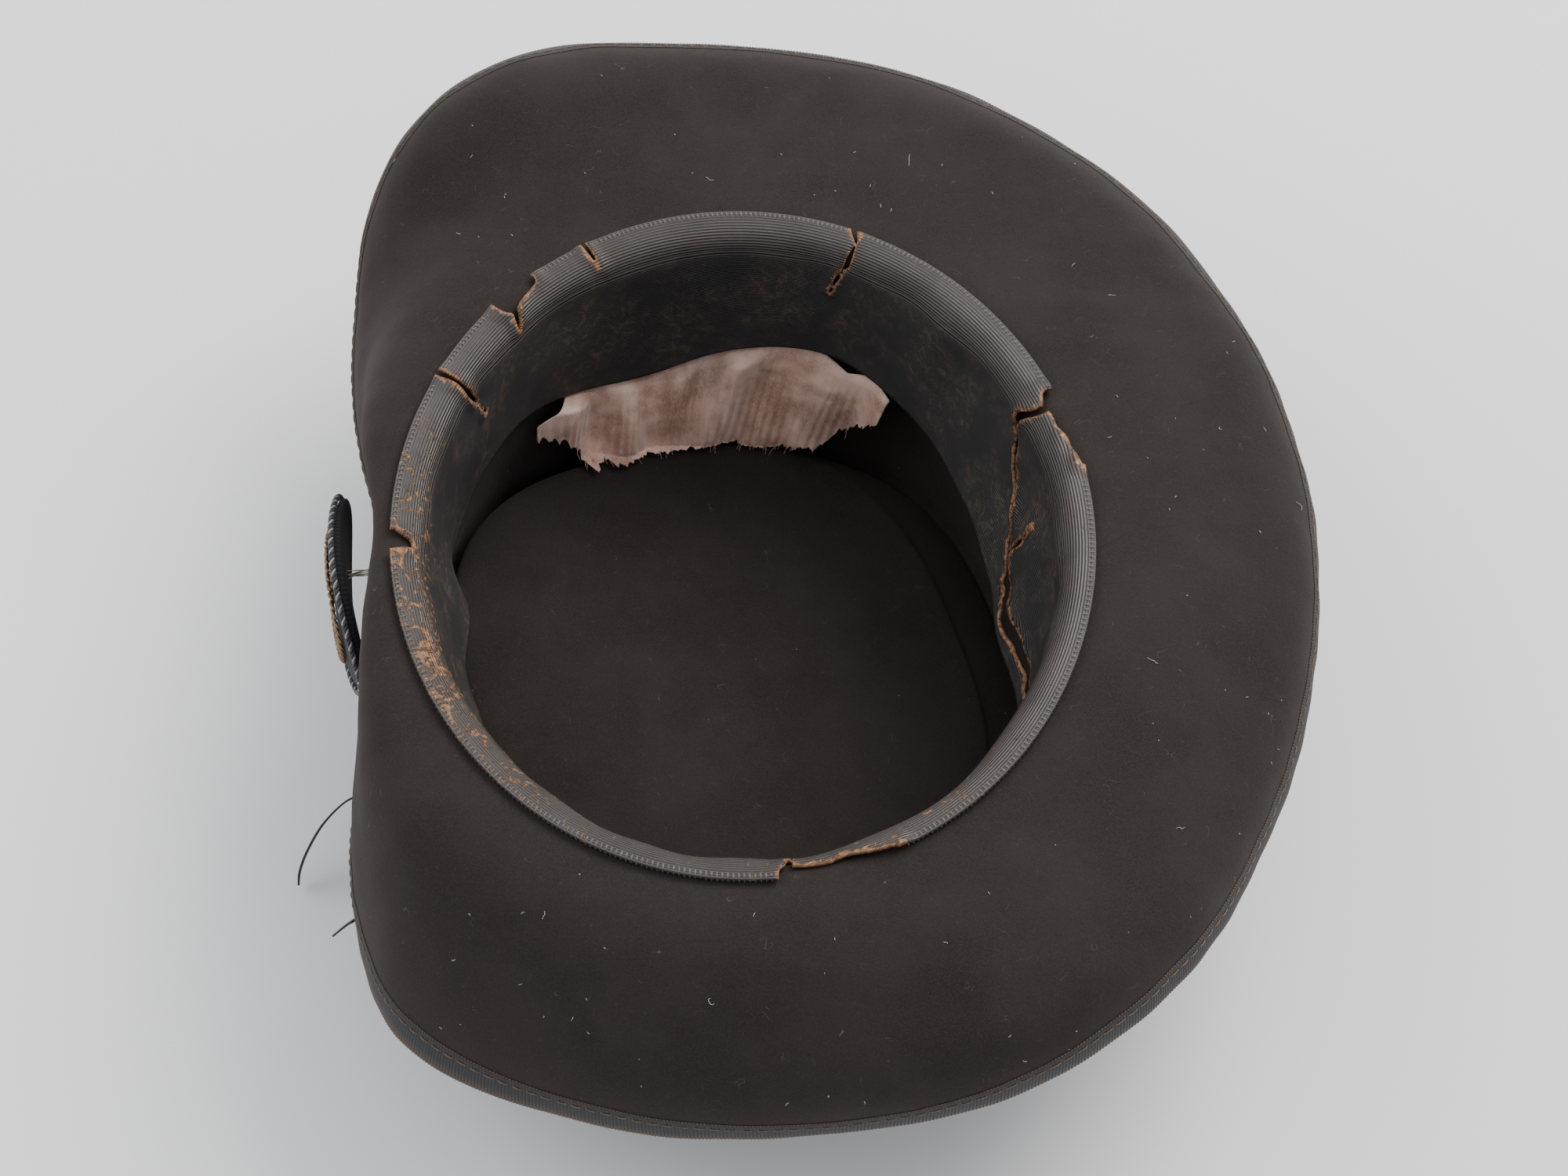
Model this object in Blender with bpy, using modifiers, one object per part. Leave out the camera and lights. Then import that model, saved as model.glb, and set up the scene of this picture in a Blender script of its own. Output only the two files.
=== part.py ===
"""Felt slouch hat that lies upside down on its dented crown.

Units are metres, +Z is up. The wide brim is bound with ribbon, curls down all round and is turned hard
over on the badge side (-X). +Y is the far end of the hat's long axis.
"""
import math
from collections import namedtuple

import bmesh
import bpy
import numpy as np
from mathutils import Vector

# Head opening, crown and brim, measured on the felt surface that shows from above
HEAD_WIDTH = 0.165
HEAD_LENGTH = 0.1916
HAT_TURN = math.radians(5.0)
FELT_THICKNESS = 0.0021
CROWN_HEIGHT = 0.096
BREAK_RADIUS = 0.006
BRIM_WIDTH = 0.0727
CURL_SHARE = 0.42

# Dented tip: a tilted plateau pushed into the crown, inside a ridge that the hat rests on
DENT_HEIGHT = 0.020
DENT_TILT = 0.15
DENT_EDGE_ROLL = 0.005
REST_WIDTH = 0.0045
FOOT_ROUNDING = 0.002

# Trimmings
FIT_GAP = 0.0004
BINDING_GAP = 0.0006
BINDING_REACH = 0.008
BINDING_THICKNESS = 0.001
SWEATBAND_DEPTH = 0.050
SWEATBAND_THICKNESS = 0.0012
HATBAND_WIDTH = 0.026
HATBAND_THICKNESS = 0.001
LINING_THICKNESS = 0.001
LINING_FOLD = 0.0022
TAIL_WIDTH = 0.006
TAIL_THICKNESS = 0.001
LONG_TAIL_REACH = 0.030
LONG_TAIL_ANGLE = 193.5
SHORT_TAIL_REACH = 0.009
SHORT_TAIL_ANGLE = 212.0

# Badge: a padded oval with a corded edge, facing -X on the turned-up brim. Its near end touches the
# brim at BADGE_ANGLE, a share BADGE_DOWN of the brim's width from the break; angles are in degrees
BADGE_LENGTH = 0.060
BADGE_HEIGHT = 0.037
BADGE_THICKNESS = 0.0030
BADGE_BOW = 0.0044
BADGE_CORD = 0.0024
BADGE_ANGLE = 190.5
BADGE_DOWN = 0.56
BADGE_SPLAY = 3.5
BADGE_LEAN = 9.0
WREATH_CORD = 0.0018
WREATH_SHARE = 0.62
THREAD_DIAMETER = 0.0012
THREAD_ANGLE = 179.0
THREAD_DOWN = 0.34

# Divisions round the hat, and the small steps that find the brim's slope at a point
SEGMENTS = 60
PROBE_LENGTH = 0.0005
PROBE_TURN = 0.01

# Brim sections by angle from +X, counter-clockwise seen from above: droop and curl in degrees,
# roll as the share of the brim's width over which the droop comes in
BrimRow = namedtuple("BrimRow", "angle droop roll curl")
BRIM_SECTIONS = [
    BrimRow(0, 14, 0.50, 62),
    BrimRow(30, 6, 0.50, 54),
    BrimRow(60, 2, 0.50, 46),
    BrimRow(90, -4, 0.50, 48),
    BrimRow(115, -20, 0.50, 70),
    BrimRow(135, 46, 0.54, 38),
    BrimRow(152, 86, 0.44, 8),
    BrimRow(166, 94, 0.22, 0),
    BrimRow(174, 94, 0.14, 0),
    BrimRow(184, 94, 0.18, 0),
    BrimRow(200, 82, 0.36, 10),
    BrimRow(215, 70, 0.54, 16),
    BrimRow(230, 48, 0.50, 24),
    BrimRow(250, 48, 0.50, 38),
    BrimRow(275, 40, 0.50, 62),
    BrimRow(300, 12, 0.50, 74),
    BrimRow(330, 24, 0.50, 60),
]

# Crown outlines as shares of the head opening's width and length; squareness is the exponent of a
# rounded oval, turn is in degrees
Outline = namedtuple("Outline", "width length shift_x shift_y squareness turn")
FOOT = Outline(0.966, 0.916, -0.014, 0.010, 2.7, 11)
DENT = Outline(0.868, 0.812, -0.028, 0.022, 2.7, 13)

# Sweatband by angle: hang as a share of its depth, stand_off from the felt as a share of its depth
BandRow = namedtuple("BandRow", "angle hang stand_off")
SWEATBAND_SECTIONS = [
    BandRow(0, 1.00, 0.20),
    BandRow(25, 1.00, 0.18),
    BandRow(45, 0.94, 0.10),
    BandRow(65, 0.86, 0.03),
    BandRow(85, 0.88, 0.03),
    BandRow(103, 0.98, 0.03),
    BandRow(120, 0.90, 0.03),
    BandRow(135, 0.78, 0.03),
    BandRow(150, 0.86, 0.04),
    BandRow(162, 0.94, 0.04),
    BandRow(172, 0.96, 0.16),
    BandRow(185, 0.96, 0.14),
    BandRow(210, 1.00, 0.14),
    BandRow(240, 1.00, 0.14),
    BandRow(290, 1.00, 0.14),
    BandRow(330, 1.00, 0.08),
]
# Piece torn out of the sweatband's turned edge, as first and last angle
BAND_TEAR = (124, 131)

# Lining scrap by angle: top and bottom as shares of the way from the sweatband to the dent's rim,
# fold as a share of the fold height, towards the head
LiningRow = namedtuple("LiningRow", "angle top bottom fold")
LINING_SECTIONS = [
    LiningRow(66, 0.02, 0.30, 0.2),
    LiningRow(71, 0.00, 0.62, 0.9),
    LiningRow(76, 0.00, 0.72, 0.3),
    LiningRow(82, 0.00, 0.86, 0.6),
    LiningRow(88, 0.00, 0.90, 0.1),
    LiningRow(94, 0.00, 0.84, 1.0),
    LiningRow(100, 0.00, 0.96, 0.3),
    LiningRow(106, 0.00, 0.98, 0.8),
    LiningRow(111, 0.02, 1.00, 0.1),
    LiningRow(116, 0.06, 0.98, 0.9),
    LiningRow(120, 0.10, 0.50, 0.3),
]

# Free end of a ribbon tail by share of its reach: out past the brim's edge, along the hat and up,
# with the ribbon's width as a share of TAIL_WIDTH
TailRow = namedtuple("TailRow", "out along up width")
LONG_TAIL = [
    TailRow(0.13, 0.00, -0.02, 1.00),
    TailRow(0.28, 0.01, -0.08, 1.00),
    TailRow(0.46, -0.06, -0.24, 0.95),
    TailRow(0.60, -0.16, -0.46, 0.85),
    TailRow(0.68, -0.24, -0.64, 0.60),
    TailRow(0.70, -0.30, -0.80, 0.15),
]
SHORT_TAIL = [
    TailRow(0.30, 0.00, -0.03, 1.00),
    TailRow(0.65, 0.02, -0.16, 0.70),
    TailRow(1.00, 0.05, -0.36, 0.20),
]


def column(rows, name):
    return [getattr(row, name) for row in rows]


def periodic(rows, name, angle):
    """Smooth value of one column of a table that runs once round the hat."""
    angles = column(rows, "angle")
    values = column(rows, name)
    count = len(rows)
    angle = angle % 360.0
    start = max((i for i in range(count) if angles[i] <= angle), default=count - 1)

    def knot(offset):
        index = start + offset
        return angles[index % count] + 360.0 * (index // count), values[index % count]

    (a0, v0), (a1, v1), (a2, v2), (a3, v3) = (knot(offset) for offset in (-1, 0, 1, 2))
    step = a2 - a1
    t = (angle - a1) / step
    slope_1 = (v2 - v0) / (a2 - a0) * step
    slope_2 = (v3 - v1) / (a3 - a1) * step
    return (
        (2 * t**3 - 3 * t**2 + 1) * v1
        + (t**3 - 2 * t**2 + t) * slope_1
        + (3 * t**2 - 2 * t**3) * v2
        + (t**3 - t**2) * slope_2
    )


def ease(t):
    t = np.clip(t, 0.0, 1.0)
    return t * t * (3.0 - 2.0 * t)


def ring_angles():
    return [2.0 * math.pi * step / SEGMENTS for step in range(SEGMENTS)]


# Plan of the hat: the head oval and the rounded ovals of the crown


def head_plan(theta, growth=0.0):
    """Point of the head oval moved outward by growth, and its outward direction."""
    half_x = HEAD_WIDTH / 2
    half_y = HEAD_LENGTH / 2
    point = np.array([half_x * math.cos(theta), half_y * math.sin(theta)])
    outward = np.array([math.cos(theta) / half_x, math.sin(theta) / half_y])
    outward /= np.linalg.norm(outward)
    return point + growth * outward, outward


def crown_plan(outline, theta, growth=0.0):
    """Point of a crown outline in the direction of the head oval's point at theta."""
    head, _ = head_plan(theta)
    direction = head / np.linalg.norm(head)
    bearing = math.atan2(direction[1], direction[0]) - math.radians(outline.turn)
    across = abs(math.cos(bearing)) / (outline.width * HEAD_WIDTH / 2)
    along = abs(math.sin(bearing)) / (outline.length * HEAD_LENGTH / 2)
    power = outline.squareness
    radius = (across**power + along**power) ** (-1.0 / power)
    centre = np.array([outline.shift_x * HEAD_WIDTH, outline.shift_y * HEAD_LENGTH])
    return centre + (radius + growth) * direction


def dent_centre():
    return np.array([DENT.shift_x * HEAD_WIDTH, DENT.shift_y * HEAD_LENGTH])


def dent_level(point):
    """Height of the dented tip's top side under a plan point."""
    return DENT_HEIGHT - DENT_TILT * point[0]


def wall_plan(theta, height, growth=0.0):
    """Point on the crown wall's inner side at a height."""
    top = CROWN_HEIGHT - BREAK_RADIUS
    foot = FELT_THICKNESS + FOOT_ROUNDING
    rise = math.sin(0.5 * math.pi * min(max((height - foot) / (top - foot), 0.0), 1.0))
    low = crown_plan(FOOT, theta, growth)
    high, _ = head_plan(theta, growth)
    return low + (high - low) * rise


# Brim


def brim_curve(theta):
    """Arc lengths, outward reach, height and slope of the brim's top side at one angle."""
    angle = math.degrees(theta)
    droop = math.radians(periodic(BRIM_SECTIONS, "droop", angle))
    curl = math.radians(periodic(BRIM_SECTIONS, "curl", angle))
    roll = periodic(BRIM_SECTIONS, "roll", angle) * BRIM_WIDTH
    curl_width = CURL_SHARE * BRIM_WIDTH
    lengths = np.linspace(0.0, BRIM_WIDTH, 149)
    slope = droop * ease(lengths / roll) + curl * ease((lengths - BRIM_WIDTH + curl_width) / curl_width)
    middle = (slope[1:] + slope[:-1]) / 2
    steps = np.diff(lengths)
    reach = np.concatenate([[0.0], np.cumsum(np.cos(middle) * steps)])
    height = -np.concatenate([[0.0], np.cumsum(np.sin(middle) * steps)])
    return lengths, reach, height, slope


def brim_surface(theta, length):
    """Point of the brim's top side at an arc length from the break; past the edge it goes straight on."""
    lengths, reach, height, slope = brim_curve(theta)
    start, outward = head_plan(theta, BREAK_RADIUS)
    inside = min(length, BRIM_WIDTH)
    beyond = length - inside
    tilt = float(np.interp(inside, lengths, slope))
    out = float(np.interp(inside, lengths, reach)) + beyond * math.cos(tilt)
    up = float(np.interp(inside, lengths, height)) - beyond * math.sin(tilt)
    plan = start + out * outward
    return np.array([plan[0], plan[1], CROWN_HEIGHT + up])


def brim_point(theta, length, lift):
    """Point that stands off the brim's top side by lift, square to the surface."""
    inside = min(max(length, PROBE_LENGTH), BRIM_WIDTH - PROBE_LENGTH)
    along = brim_surface(theta, inside + PROBE_LENGTH) - brim_surface(theta, inside - PROBE_LENGTH)
    around = brim_surface(theta + PROBE_TURN, inside) - brim_surface(theta - PROBE_TURN, inside)
    normal = np.cross(along, around)
    normal /= np.linalg.norm(normal)
    return tuple(brim_surface(theta, length) + lift * normal)


def break_point(theta, turn, lift):
    """Point on the rounded break; turn is 0 at the wall and 90 degrees at the brim."""
    radius = BREAK_RADIUS + lift
    plan, _ = head_plan(theta, BREAK_RADIUS - radius * math.cos(turn))
    return (plan[0], plan[1], CROWN_HEIGHT - BREAK_RADIUS + radius * math.sin(turn))


# Mesh building


def new_object(name, mesh_or_curve, material, parent, collection):
    part = bpy.data.objects.new(name, mesh_or_curve)
    part.data.materials.append(material)
    part.parent = parent
    collection.objects.link(part)
    return part


def loft(name, rings, closed, pole=None):
    """Skin rings of points into an open surface; a pole point closes the first ring."""
    build = bmesh.new()
    rows = [[build.verts.new(point) for point in ring] for ring in rings]
    count = len(rings[0])
    last = count if closed else count - 1
    for lower, upper in zip(rows[:-1], rows[1:]):
        for step in range(last):
            following = (step + 1) % count
            build.faces.new((lower[step], lower[following], upper[following], upper[step]))
    if pole is not None:
        centre = build.verts.new(pole)
        for step in range(last):
            build.faces.new((centre, rows[0][(step + 1) % count], rows[0][step]))
    mesh = bpy.data.meshes.new(name)
    build.to_mesh(mesh)
    build.free()
    mesh.shade_smooth()
    return mesh


def thicken(part, thickness, side):
    """Give an open surface its thickness; side is 1 along its normals and -1 against them."""
    solid = part.modifiers.new("thickness", "SOLIDIFY")
    solid.thickness = thickness
    solid.offset = side
    solid.use_even_offset = True
    solid.use_rim = True


def material(name, colour, roughness, metallic=0.0):
    made = bpy.data.materials.new(name)
    made.use_nodes = True
    shader = made.node_tree.nodes["Principled BSDF"]
    shader.inputs["Base Color"].default_value = (*colour, 1.0)
    shader.inputs["Roughness"].default_value = roughness
    shader.inputs["Metallic"].default_value = metallic
    return made


# Felt body


def dent_rings():
    """Underside of the dented tip, from its middle out to the ridge's resting face."""
    plateau_shares = (0.35, 0.65, 0.87)
    side_rows = ((0.0, 0.10), (0.45, 0.42), (0.80, 0.85))
    rings = []
    for share in plateau_shares:
        ring = []
        for theta in ring_angles():
            rim = crown_plan(DENT, theta, -FELT_THICKNESS - DENT_EDGE_ROLL)
            plan = dent_centre() + share * (rim - dent_centre())
            ring.append((plan[0], plan[1], dent_level(plan) - FELT_THICKNESS))
        rings.append(ring)
    edge = []
    for theta in ring_angles():
        plan = crown_plan(DENT, theta, -FELT_THICKNESS - DENT_EDGE_ROLL)
        edge.append((plan[0], plan[1], (dent_level(plan) - FELT_THICKNESS) * 0.98))
    rings.append(edge)
    for out_share, drop in side_rows:
        ring = []
        for theta in ring_angles():
            inner = crown_plan(DENT, theta, -FELT_THICKNESS - 0.2 * DENT_EDGE_ROLL)
            outer = rest_plan(theta, 0.0)
            plan = inner + out_share * (outer - inner)
            ring.append((plan[0], plan[1], (dent_level(inner) - FELT_THICKNESS) * (1.0 - drop)))
        rings.append(ring)
    return rings


def rest_plan(theta, share):
    """Point across the flat face on the ridge; share is 0 at its inner edge and 1 at its outer."""
    outer_edge = FELT_THICKNESS - FOOT_ROUNDING
    return crown_plan(FOOT, theta, outer_edge - (1.0 - share) * REST_WIDTH)


def felt_body(look, parent, collection):
    wall_heights = (0.019, 0.042, 0.066, CROWN_HEIGHT - BREAK_RADIUS)
    break_turns = (30, 60, 90)
    edge_share = BINDING_REACH / BRIM_WIDTH
    brim_shares = (0.09, 0.18, 0.28, 0.40, 0.53, 0.65, 0.77, 1 - edge_share, 1 - edge_share / 2, 1.0)
    rings = dent_rings()
    for share in (0.0, 1.0):
        rings.append([(*rest_plan(theta, share), 0.0) for theta in ring_angles()])
    for height, inset in ((0.0008, 0.0006), (0.0040, 0.0)):
        rings.append([
            (*crown_plan(FOOT, theta, FELT_THICKNESS - inset), height) for theta in ring_angles()
        ])
    for height in wall_heights:
        rings.append([(*wall_plan(theta, height, FELT_THICKNESS), height) for theta in ring_angles()])
    for turn in break_turns:
        rings.append([break_point(theta, math.radians(turn), -FELT_THICKNESS) for theta in ring_angles()])
    for share in brim_shares:
        rings.append([brim_point(theta, share * BRIM_WIDTH, -FELT_THICKNESS) for theta in ring_angles()])
    centre = dent_centre()
    pole = (centre[0], centre[1], dent_level(centre) - FELT_THICKNESS)
    part = new_object("felt_body", loft("felt_body", rings, True, pole), look, parent, collection)
    thicken(part, FELT_THICKNESS, -1)
    return part


def brim_binding(look, parent, collection):
    """Ribbon folded over the brim's edge: rows run from the top side round to the underside."""
    top = BINDING_GAP
    below = -FELT_THICKNESS - BINDING_GAP
    path = (
        (BRIM_WIDTH - BINDING_REACH, top),
        (BRIM_WIDTH - BINDING_REACH / 2, top),
        (BRIM_WIDTH + BINDING_GAP, top),
        (BRIM_WIDTH + BINDING_GAP, below),
        (BRIM_WIDTH - BINDING_REACH / 2, below),
        (BRIM_WIDTH - BINDING_REACH, below),
    )
    rings = [[brim_point(theta, length, lift) for theta in ring_angles()] for length, lift in path]
    part = new_object("brim_binding", loft("brim_binding", rings, True), look, parent, collection)
    thicken(part, BINDING_THICKNESS, -1)
    return part


def sweatband_edge(theta):
    """Height and stand-off of the sweatband's free lower edge."""
    angle = math.degrees(theta)
    hang = periodic(SWEATBAND_SECTIONS, "hang", angle) * SWEATBAND_DEPTH
    stand_off = periodic(SWEATBAND_SECTIONS, "stand_off", angle) * SWEATBAND_DEPTH
    return CROWN_HEIGHT - hang, stand_off


def sweatband_wall_point(theta, share):
    """Outer side of the sweatband below the break; share is 0 at the break and 1 at the free edge."""
    edge_height, stand_off = sweatband_edge(theta)
    top = CROWN_HEIGHT - BREAK_RADIUS
    height = top + share * (edge_height - top)
    plan = wall_plan(theta, height, -FIT_GAP - stand_off * share**1.5)
    return (plan[0], plan[1], height)


def sweatband(look, parent, collection):
    rings = []
    for share in (1.0, 0.7, 0.35):
        rings.append([sweatband_wall_point(theta, share) for theta in ring_angles()])
    for turn in (0, 30, 60, 90):
        rings.append([break_point(theta, math.radians(turn), FIT_GAP) for theta in ring_angles()])
    mesh = loft("sweatband", rings, True)
    tear_band_edge(mesh)
    part = new_object("sweatband", mesh, look, parent, collection)
    thicken(part, SWEATBAND_THICKNESS, -1)
    return part


def tear_band_edge(mesh):
    """Take out the faces of the torn piece: the turned edge, above the wall, between two angles."""
    build = bmesh.new()
    build.from_mesh(mesh)
    torn = []
    for face in build.faces:
        middle = face.calc_center_median()
        bearing = math.degrees(math.atan2(middle.y / HEAD_LENGTH, middle.x / HEAD_WIDTH)) % 360.0
        if middle.z > CROWN_HEIGHT - BREAK_RADIUS / 2 and BAND_TEAR[0] < bearing < BAND_TEAR[1]:
            torn.append(face)
    bmesh.ops.delete(build, geom=torn, context="FACES")
    build.to_mesh(mesh)
    build.free()


def hatband(look, parent, collection):
    """Plain ribbon round the outside of the crown, just under the brim."""
    top = CROWN_HEIGHT - BREAK_RADIUS
    rings = []
    for share in (1.0, 0.5, 0.0):
        height = top - share * HATBAND_WIDTH
        growth = FELT_THICKNESS + FIT_GAP
        rings.append([(*wall_plan(theta, height, growth), height) for theta in ring_angles()])
    part = new_object("hatband", loft("hatband", rings, True), look, parent, collection)
    thicken(part, HATBAND_THICKNESS, 1)
    return part


def lining_point(theta, share):
    """Point of the lining scrap; share is 0 under the sweatband and 1 at the dent's rim."""
    edge_height, _ = sweatband_edge(theta)
    top_height = edge_height - 2 * FIT_GAP
    top = wall_plan(theta, top_height, -FIT_GAP)
    rim = crown_plan(DENT, theta, 0.0)
    rim_height = dent_level(rim) + LINING_THICKNESS
    plan = top + share * (rim - top)
    return np.array([plan[0], plan[1], top_height + share * (rim_height - top_height)])


def lining_remnant(look, parent, collection):
    """Scrap of silk that hangs from the sweatband's foot and lies against the wall and the dent."""
    rows = LINING_SECTIONS
    thetas = [math.radians(row.angle) for row in rows]
    rings = []
    for step in range(6):
        down = 1.0 - step / 5.0
        ring = []
        for row, theta in zip(rows, thetas):
            share = row.top + down * (row.bottom - row.top)
            point = lining_point(theta, share)
            _, outward = head_plan(theta)
            lean = LINING_FOLD * row.fold * math.sin(math.pi * min(1.0, 0.15 + 0.8 * down))
            ring.append((point[0] - lean * outward[0], point[1] - lean * outward[1], point[2]))
        rings.append(ring)
    part = new_object("lining_remnant", loft("lining_remnant", rings, False), look, parent, collection)
    thicken(part, LINING_THICKNESS, -1)
    return part


# Ribbon tails


def tail_route(angle, rows, reach):
    """Middle line of a tail: from the hatband, down behind the turned brim, under its edge and out."""
    theta = math.radians(angle)
    band_outside = FELT_THICKNESS + HATBAND_THICKNESS + TAIL_THICKNESS / 2 + 3 * FIT_GAP
    start_height = CROWN_HEIGHT - BREAK_RADIUS - HATBAND_WIDTH / 2
    edge = np.array(brim_point(theta, BRIM_WIDTH, -FELT_THICKNESS / 2))
    under = edge - np.array([0.0, 0.0, BINDING_THICKNESS + FIT_GAP + 0.75 * TAIL_WIDTH])
    _, outward = head_plan(theta)
    route = []
    for share in (0.0, 0.5, 0.85):
        height = start_height + share * (under[2] - start_height)
        plan = wall_plan(theta, height, band_outside + share * 0.5 * TAIL_WIDTH)
        route.append((np.array([plan[0], plan[1], height]), 1.0, 0.0))
    route.append((under, 1.0, 1.0))
    for row in rows:
        step = np.array([row.out * outward[0], row.out * outward[1] + row.along, row.up]) * reach
        route.append((under + step, row.width, 1.0))
    return route


def ribbon_tail(name, angle, rows, reach, look, parent, collection):
    """Flat ribbon that lies against the hatband and turns on edge where it comes out."""
    _, outward = head_plan(math.radians(angle))
    flat = np.array([outward[1], -outward[0], 0.0])
    on_edge = np.array([0.0, 0.55, -0.83])
    rings = []
    for middle, width, twist in tail_route(angle, rows, reach):
        across = flat + twist * (on_edge - flat)
        half = across / np.linalg.norm(across) * TAIL_WIDTH * width / 2
        rings.append([tuple(middle - half), tuple(middle + half)])
    part = new_object(name, loft(name, rings, False), look, parent, collection)
    thicken(part, TAIL_THICKNESS, 0)
    return part


# Badge


def badge_bow(y):
    """How far the badge's middle stands out beyond its ends."""
    return BADGE_BOW * (1.0 - (2.0 * y / BADGE_LENGTH) ** 2)


def pad_half_axes():
    rim = BADGE_CORD + FIT_GAP
    return BADGE_LENGTH / 2 - rim, BADGE_HEIGHT / 2 - rim


def badge_frame(parent, collection):
    """Empty at the badge's centre: -X is its face, +Y its far end, +Z its top edge."""
    frame = bpy.data.objects.new("badge_frame", None)
    frame.parent = parent
    frame.rotation_euler = (0.0, math.radians(BADGE_LEAN), math.radians(BADGE_SPLAY))
    touch = Vector((BADGE_CORD / 2, -BADGE_LENGTH / 2, 0.0))
    touch.rotate(frame.rotation_euler)
    seat = Vector(brim_point(math.radians(BADGE_ANGLE), BADGE_DOWN * BRIM_WIDTH, FIT_GAP))
    frame.location = seat - touch
    collection.objects.link(frame)
    return frame


def badge_pad(look, parent, collection):
    half_length, half_height = pad_half_axes()
    build = bmesh.new()
    bmesh.ops.create_uvsphere(build, u_segments=16, v_segments=8, radius=1.0)
    for vert in build.verts:
        y = vert.co.y * half_length
        vert.co = Vector((vert.co.x * BADGE_THICKNESS / 2 - badge_bow(y), y, vert.co.z * half_height))
    mesh = bpy.data.meshes.new("badge_pad")
    build.to_mesh(mesh)
    build.free()
    mesh.shade_smooth()
    return new_object("badge_pad", mesh, look, parent, collection)


def closed_cord(name, points, diameter, look, parent, collection):
    curve = bpy.data.curves.new(name, "CURVE")
    curve.dimensions = "3D"
    curve.bevel_depth = diameter / 2
    curve.bevel_resolution = 1
    spline = curve.splines.new("POLY")
    spline.points.add(len(points) - 1)
    for spline_point, point in zip(spline.points, points):
        spline_point.co = (*point, 1.0)
    spline.use_cyclic_u = True
    return new_object(name, curve, look, parent, collection)


def badge_edge_cord(look, parent, collection):
    half_length, half_height = pad_half_axes()
    outset = FIT_GAP + BADGE_CORD / 2
    points = []
    for step in range(28):
        turn = 2.0 * math.pi * step / 28
        y = (half_length + outset) * math.cos(turn)
        points.append((-badge_bow(y), y, (half_height + outset) * math.sin(turn)))
    return closed_cord("badge_edge_cord", points, BADGE_CORD, look, parent, collection)


def badge_embroidery(look, parent, collection):
    """Generic wreath: one thick ring of wirework on the badge's face."""
    half_length, half_height = pad_half_axes()
    crown = math.sqrt(1.0 - WREATH_SHARE**2) * BADGE_THICKNESS / 2
    points = []
    for step in range(24):
        turn = 2.0 * math.pi * step / 24
        y = WREATH_SHARE * half_length * math.cos(turn)
        stand = crown + badge_bow(y) + 2 * FIT_GAP + WREATH_CORD / 2
        points.append((-stand, y, WREATH_SHARE * half_height * math.sin(turn)))
    return closed_cord("badge_embroidery", points, WREATH_CORD, look, parent, collection)


def badge_thread(look, frame, parent, collection):
    """Thread that ties the badge's back to the brim."""
    theta = math.radians(THREAD_ANGLE)
    start = Vector(brim_point(theta, THREAD_DOWN * BRIM_WIDTH, 2 * FIT_GAP))
    offset = start - frame.location
    offset.rotate(frame.rotation_euler.to_matrix().inverted().to_euler())
    half_length, half_height = pad_half_axes()
    fullness = max(0.0, 1.0 - (offset.y / half_length) ** 2 - (offset.z / half_height) ** 2)
    back = Vector((BADGE_THICKNESS / 2 * math.sqrt(fullness) - badge_bow(offset.y) + 2 * FIT_GAP, 0, 0))
    back.y = offset.y
    back.z = offset.z
    back.rotate(frame.rotation_euler)
    end = frame.location + back
    curve = bpy.data.curves.new("badge_thread", "CURVE")
    curve.dimensions = "3D"
    curve.bevel_depth = THREAD_DIAMETER / 2
    curve.bevel_resolution = 1
    curve.use_fill_caps = True
    spline = curve.splines.new("POLY")
    spline.points.add(3)
    for step, spline_point in enumerate(spline.points):
        share = step / 3.0
        point = start.lerp(end, share) - Vector((0, 0, THREAD_DIAMETER * math.sin(math.pi * share)))
        spline_point.co = (*point, 1.0)
    return new_object("badge_thread", curve, look, parent, collection)


# Assembly


def clear_scene():
    for old in list(bpy.data.objects):
        bpy.data.objects.remove(old, do_unlink=True)


def stand_on_origin(frame, parts):
    """Move the whole hat so that the middle of its base lies at the world's origin."""
    bpy.context.view_layer.update()
    graph = bpy.context.evaluated_depsgraph_get()
    corners = []
    for part in parts:
        shown = part.evaluated_get(graph)
        corners += [shown.matrix_world @ Vector(corner.co) for corner in shown.to_mesh().vertices]
        shown.to_mesh_clear()
    for axis in range(2):
        values = [corner[axis] for corner in corners]
        frame.location[axis] -= (min(values) + max(values)) / 2
    frame.location.z -= min(corner.z for corner in corners)


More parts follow.
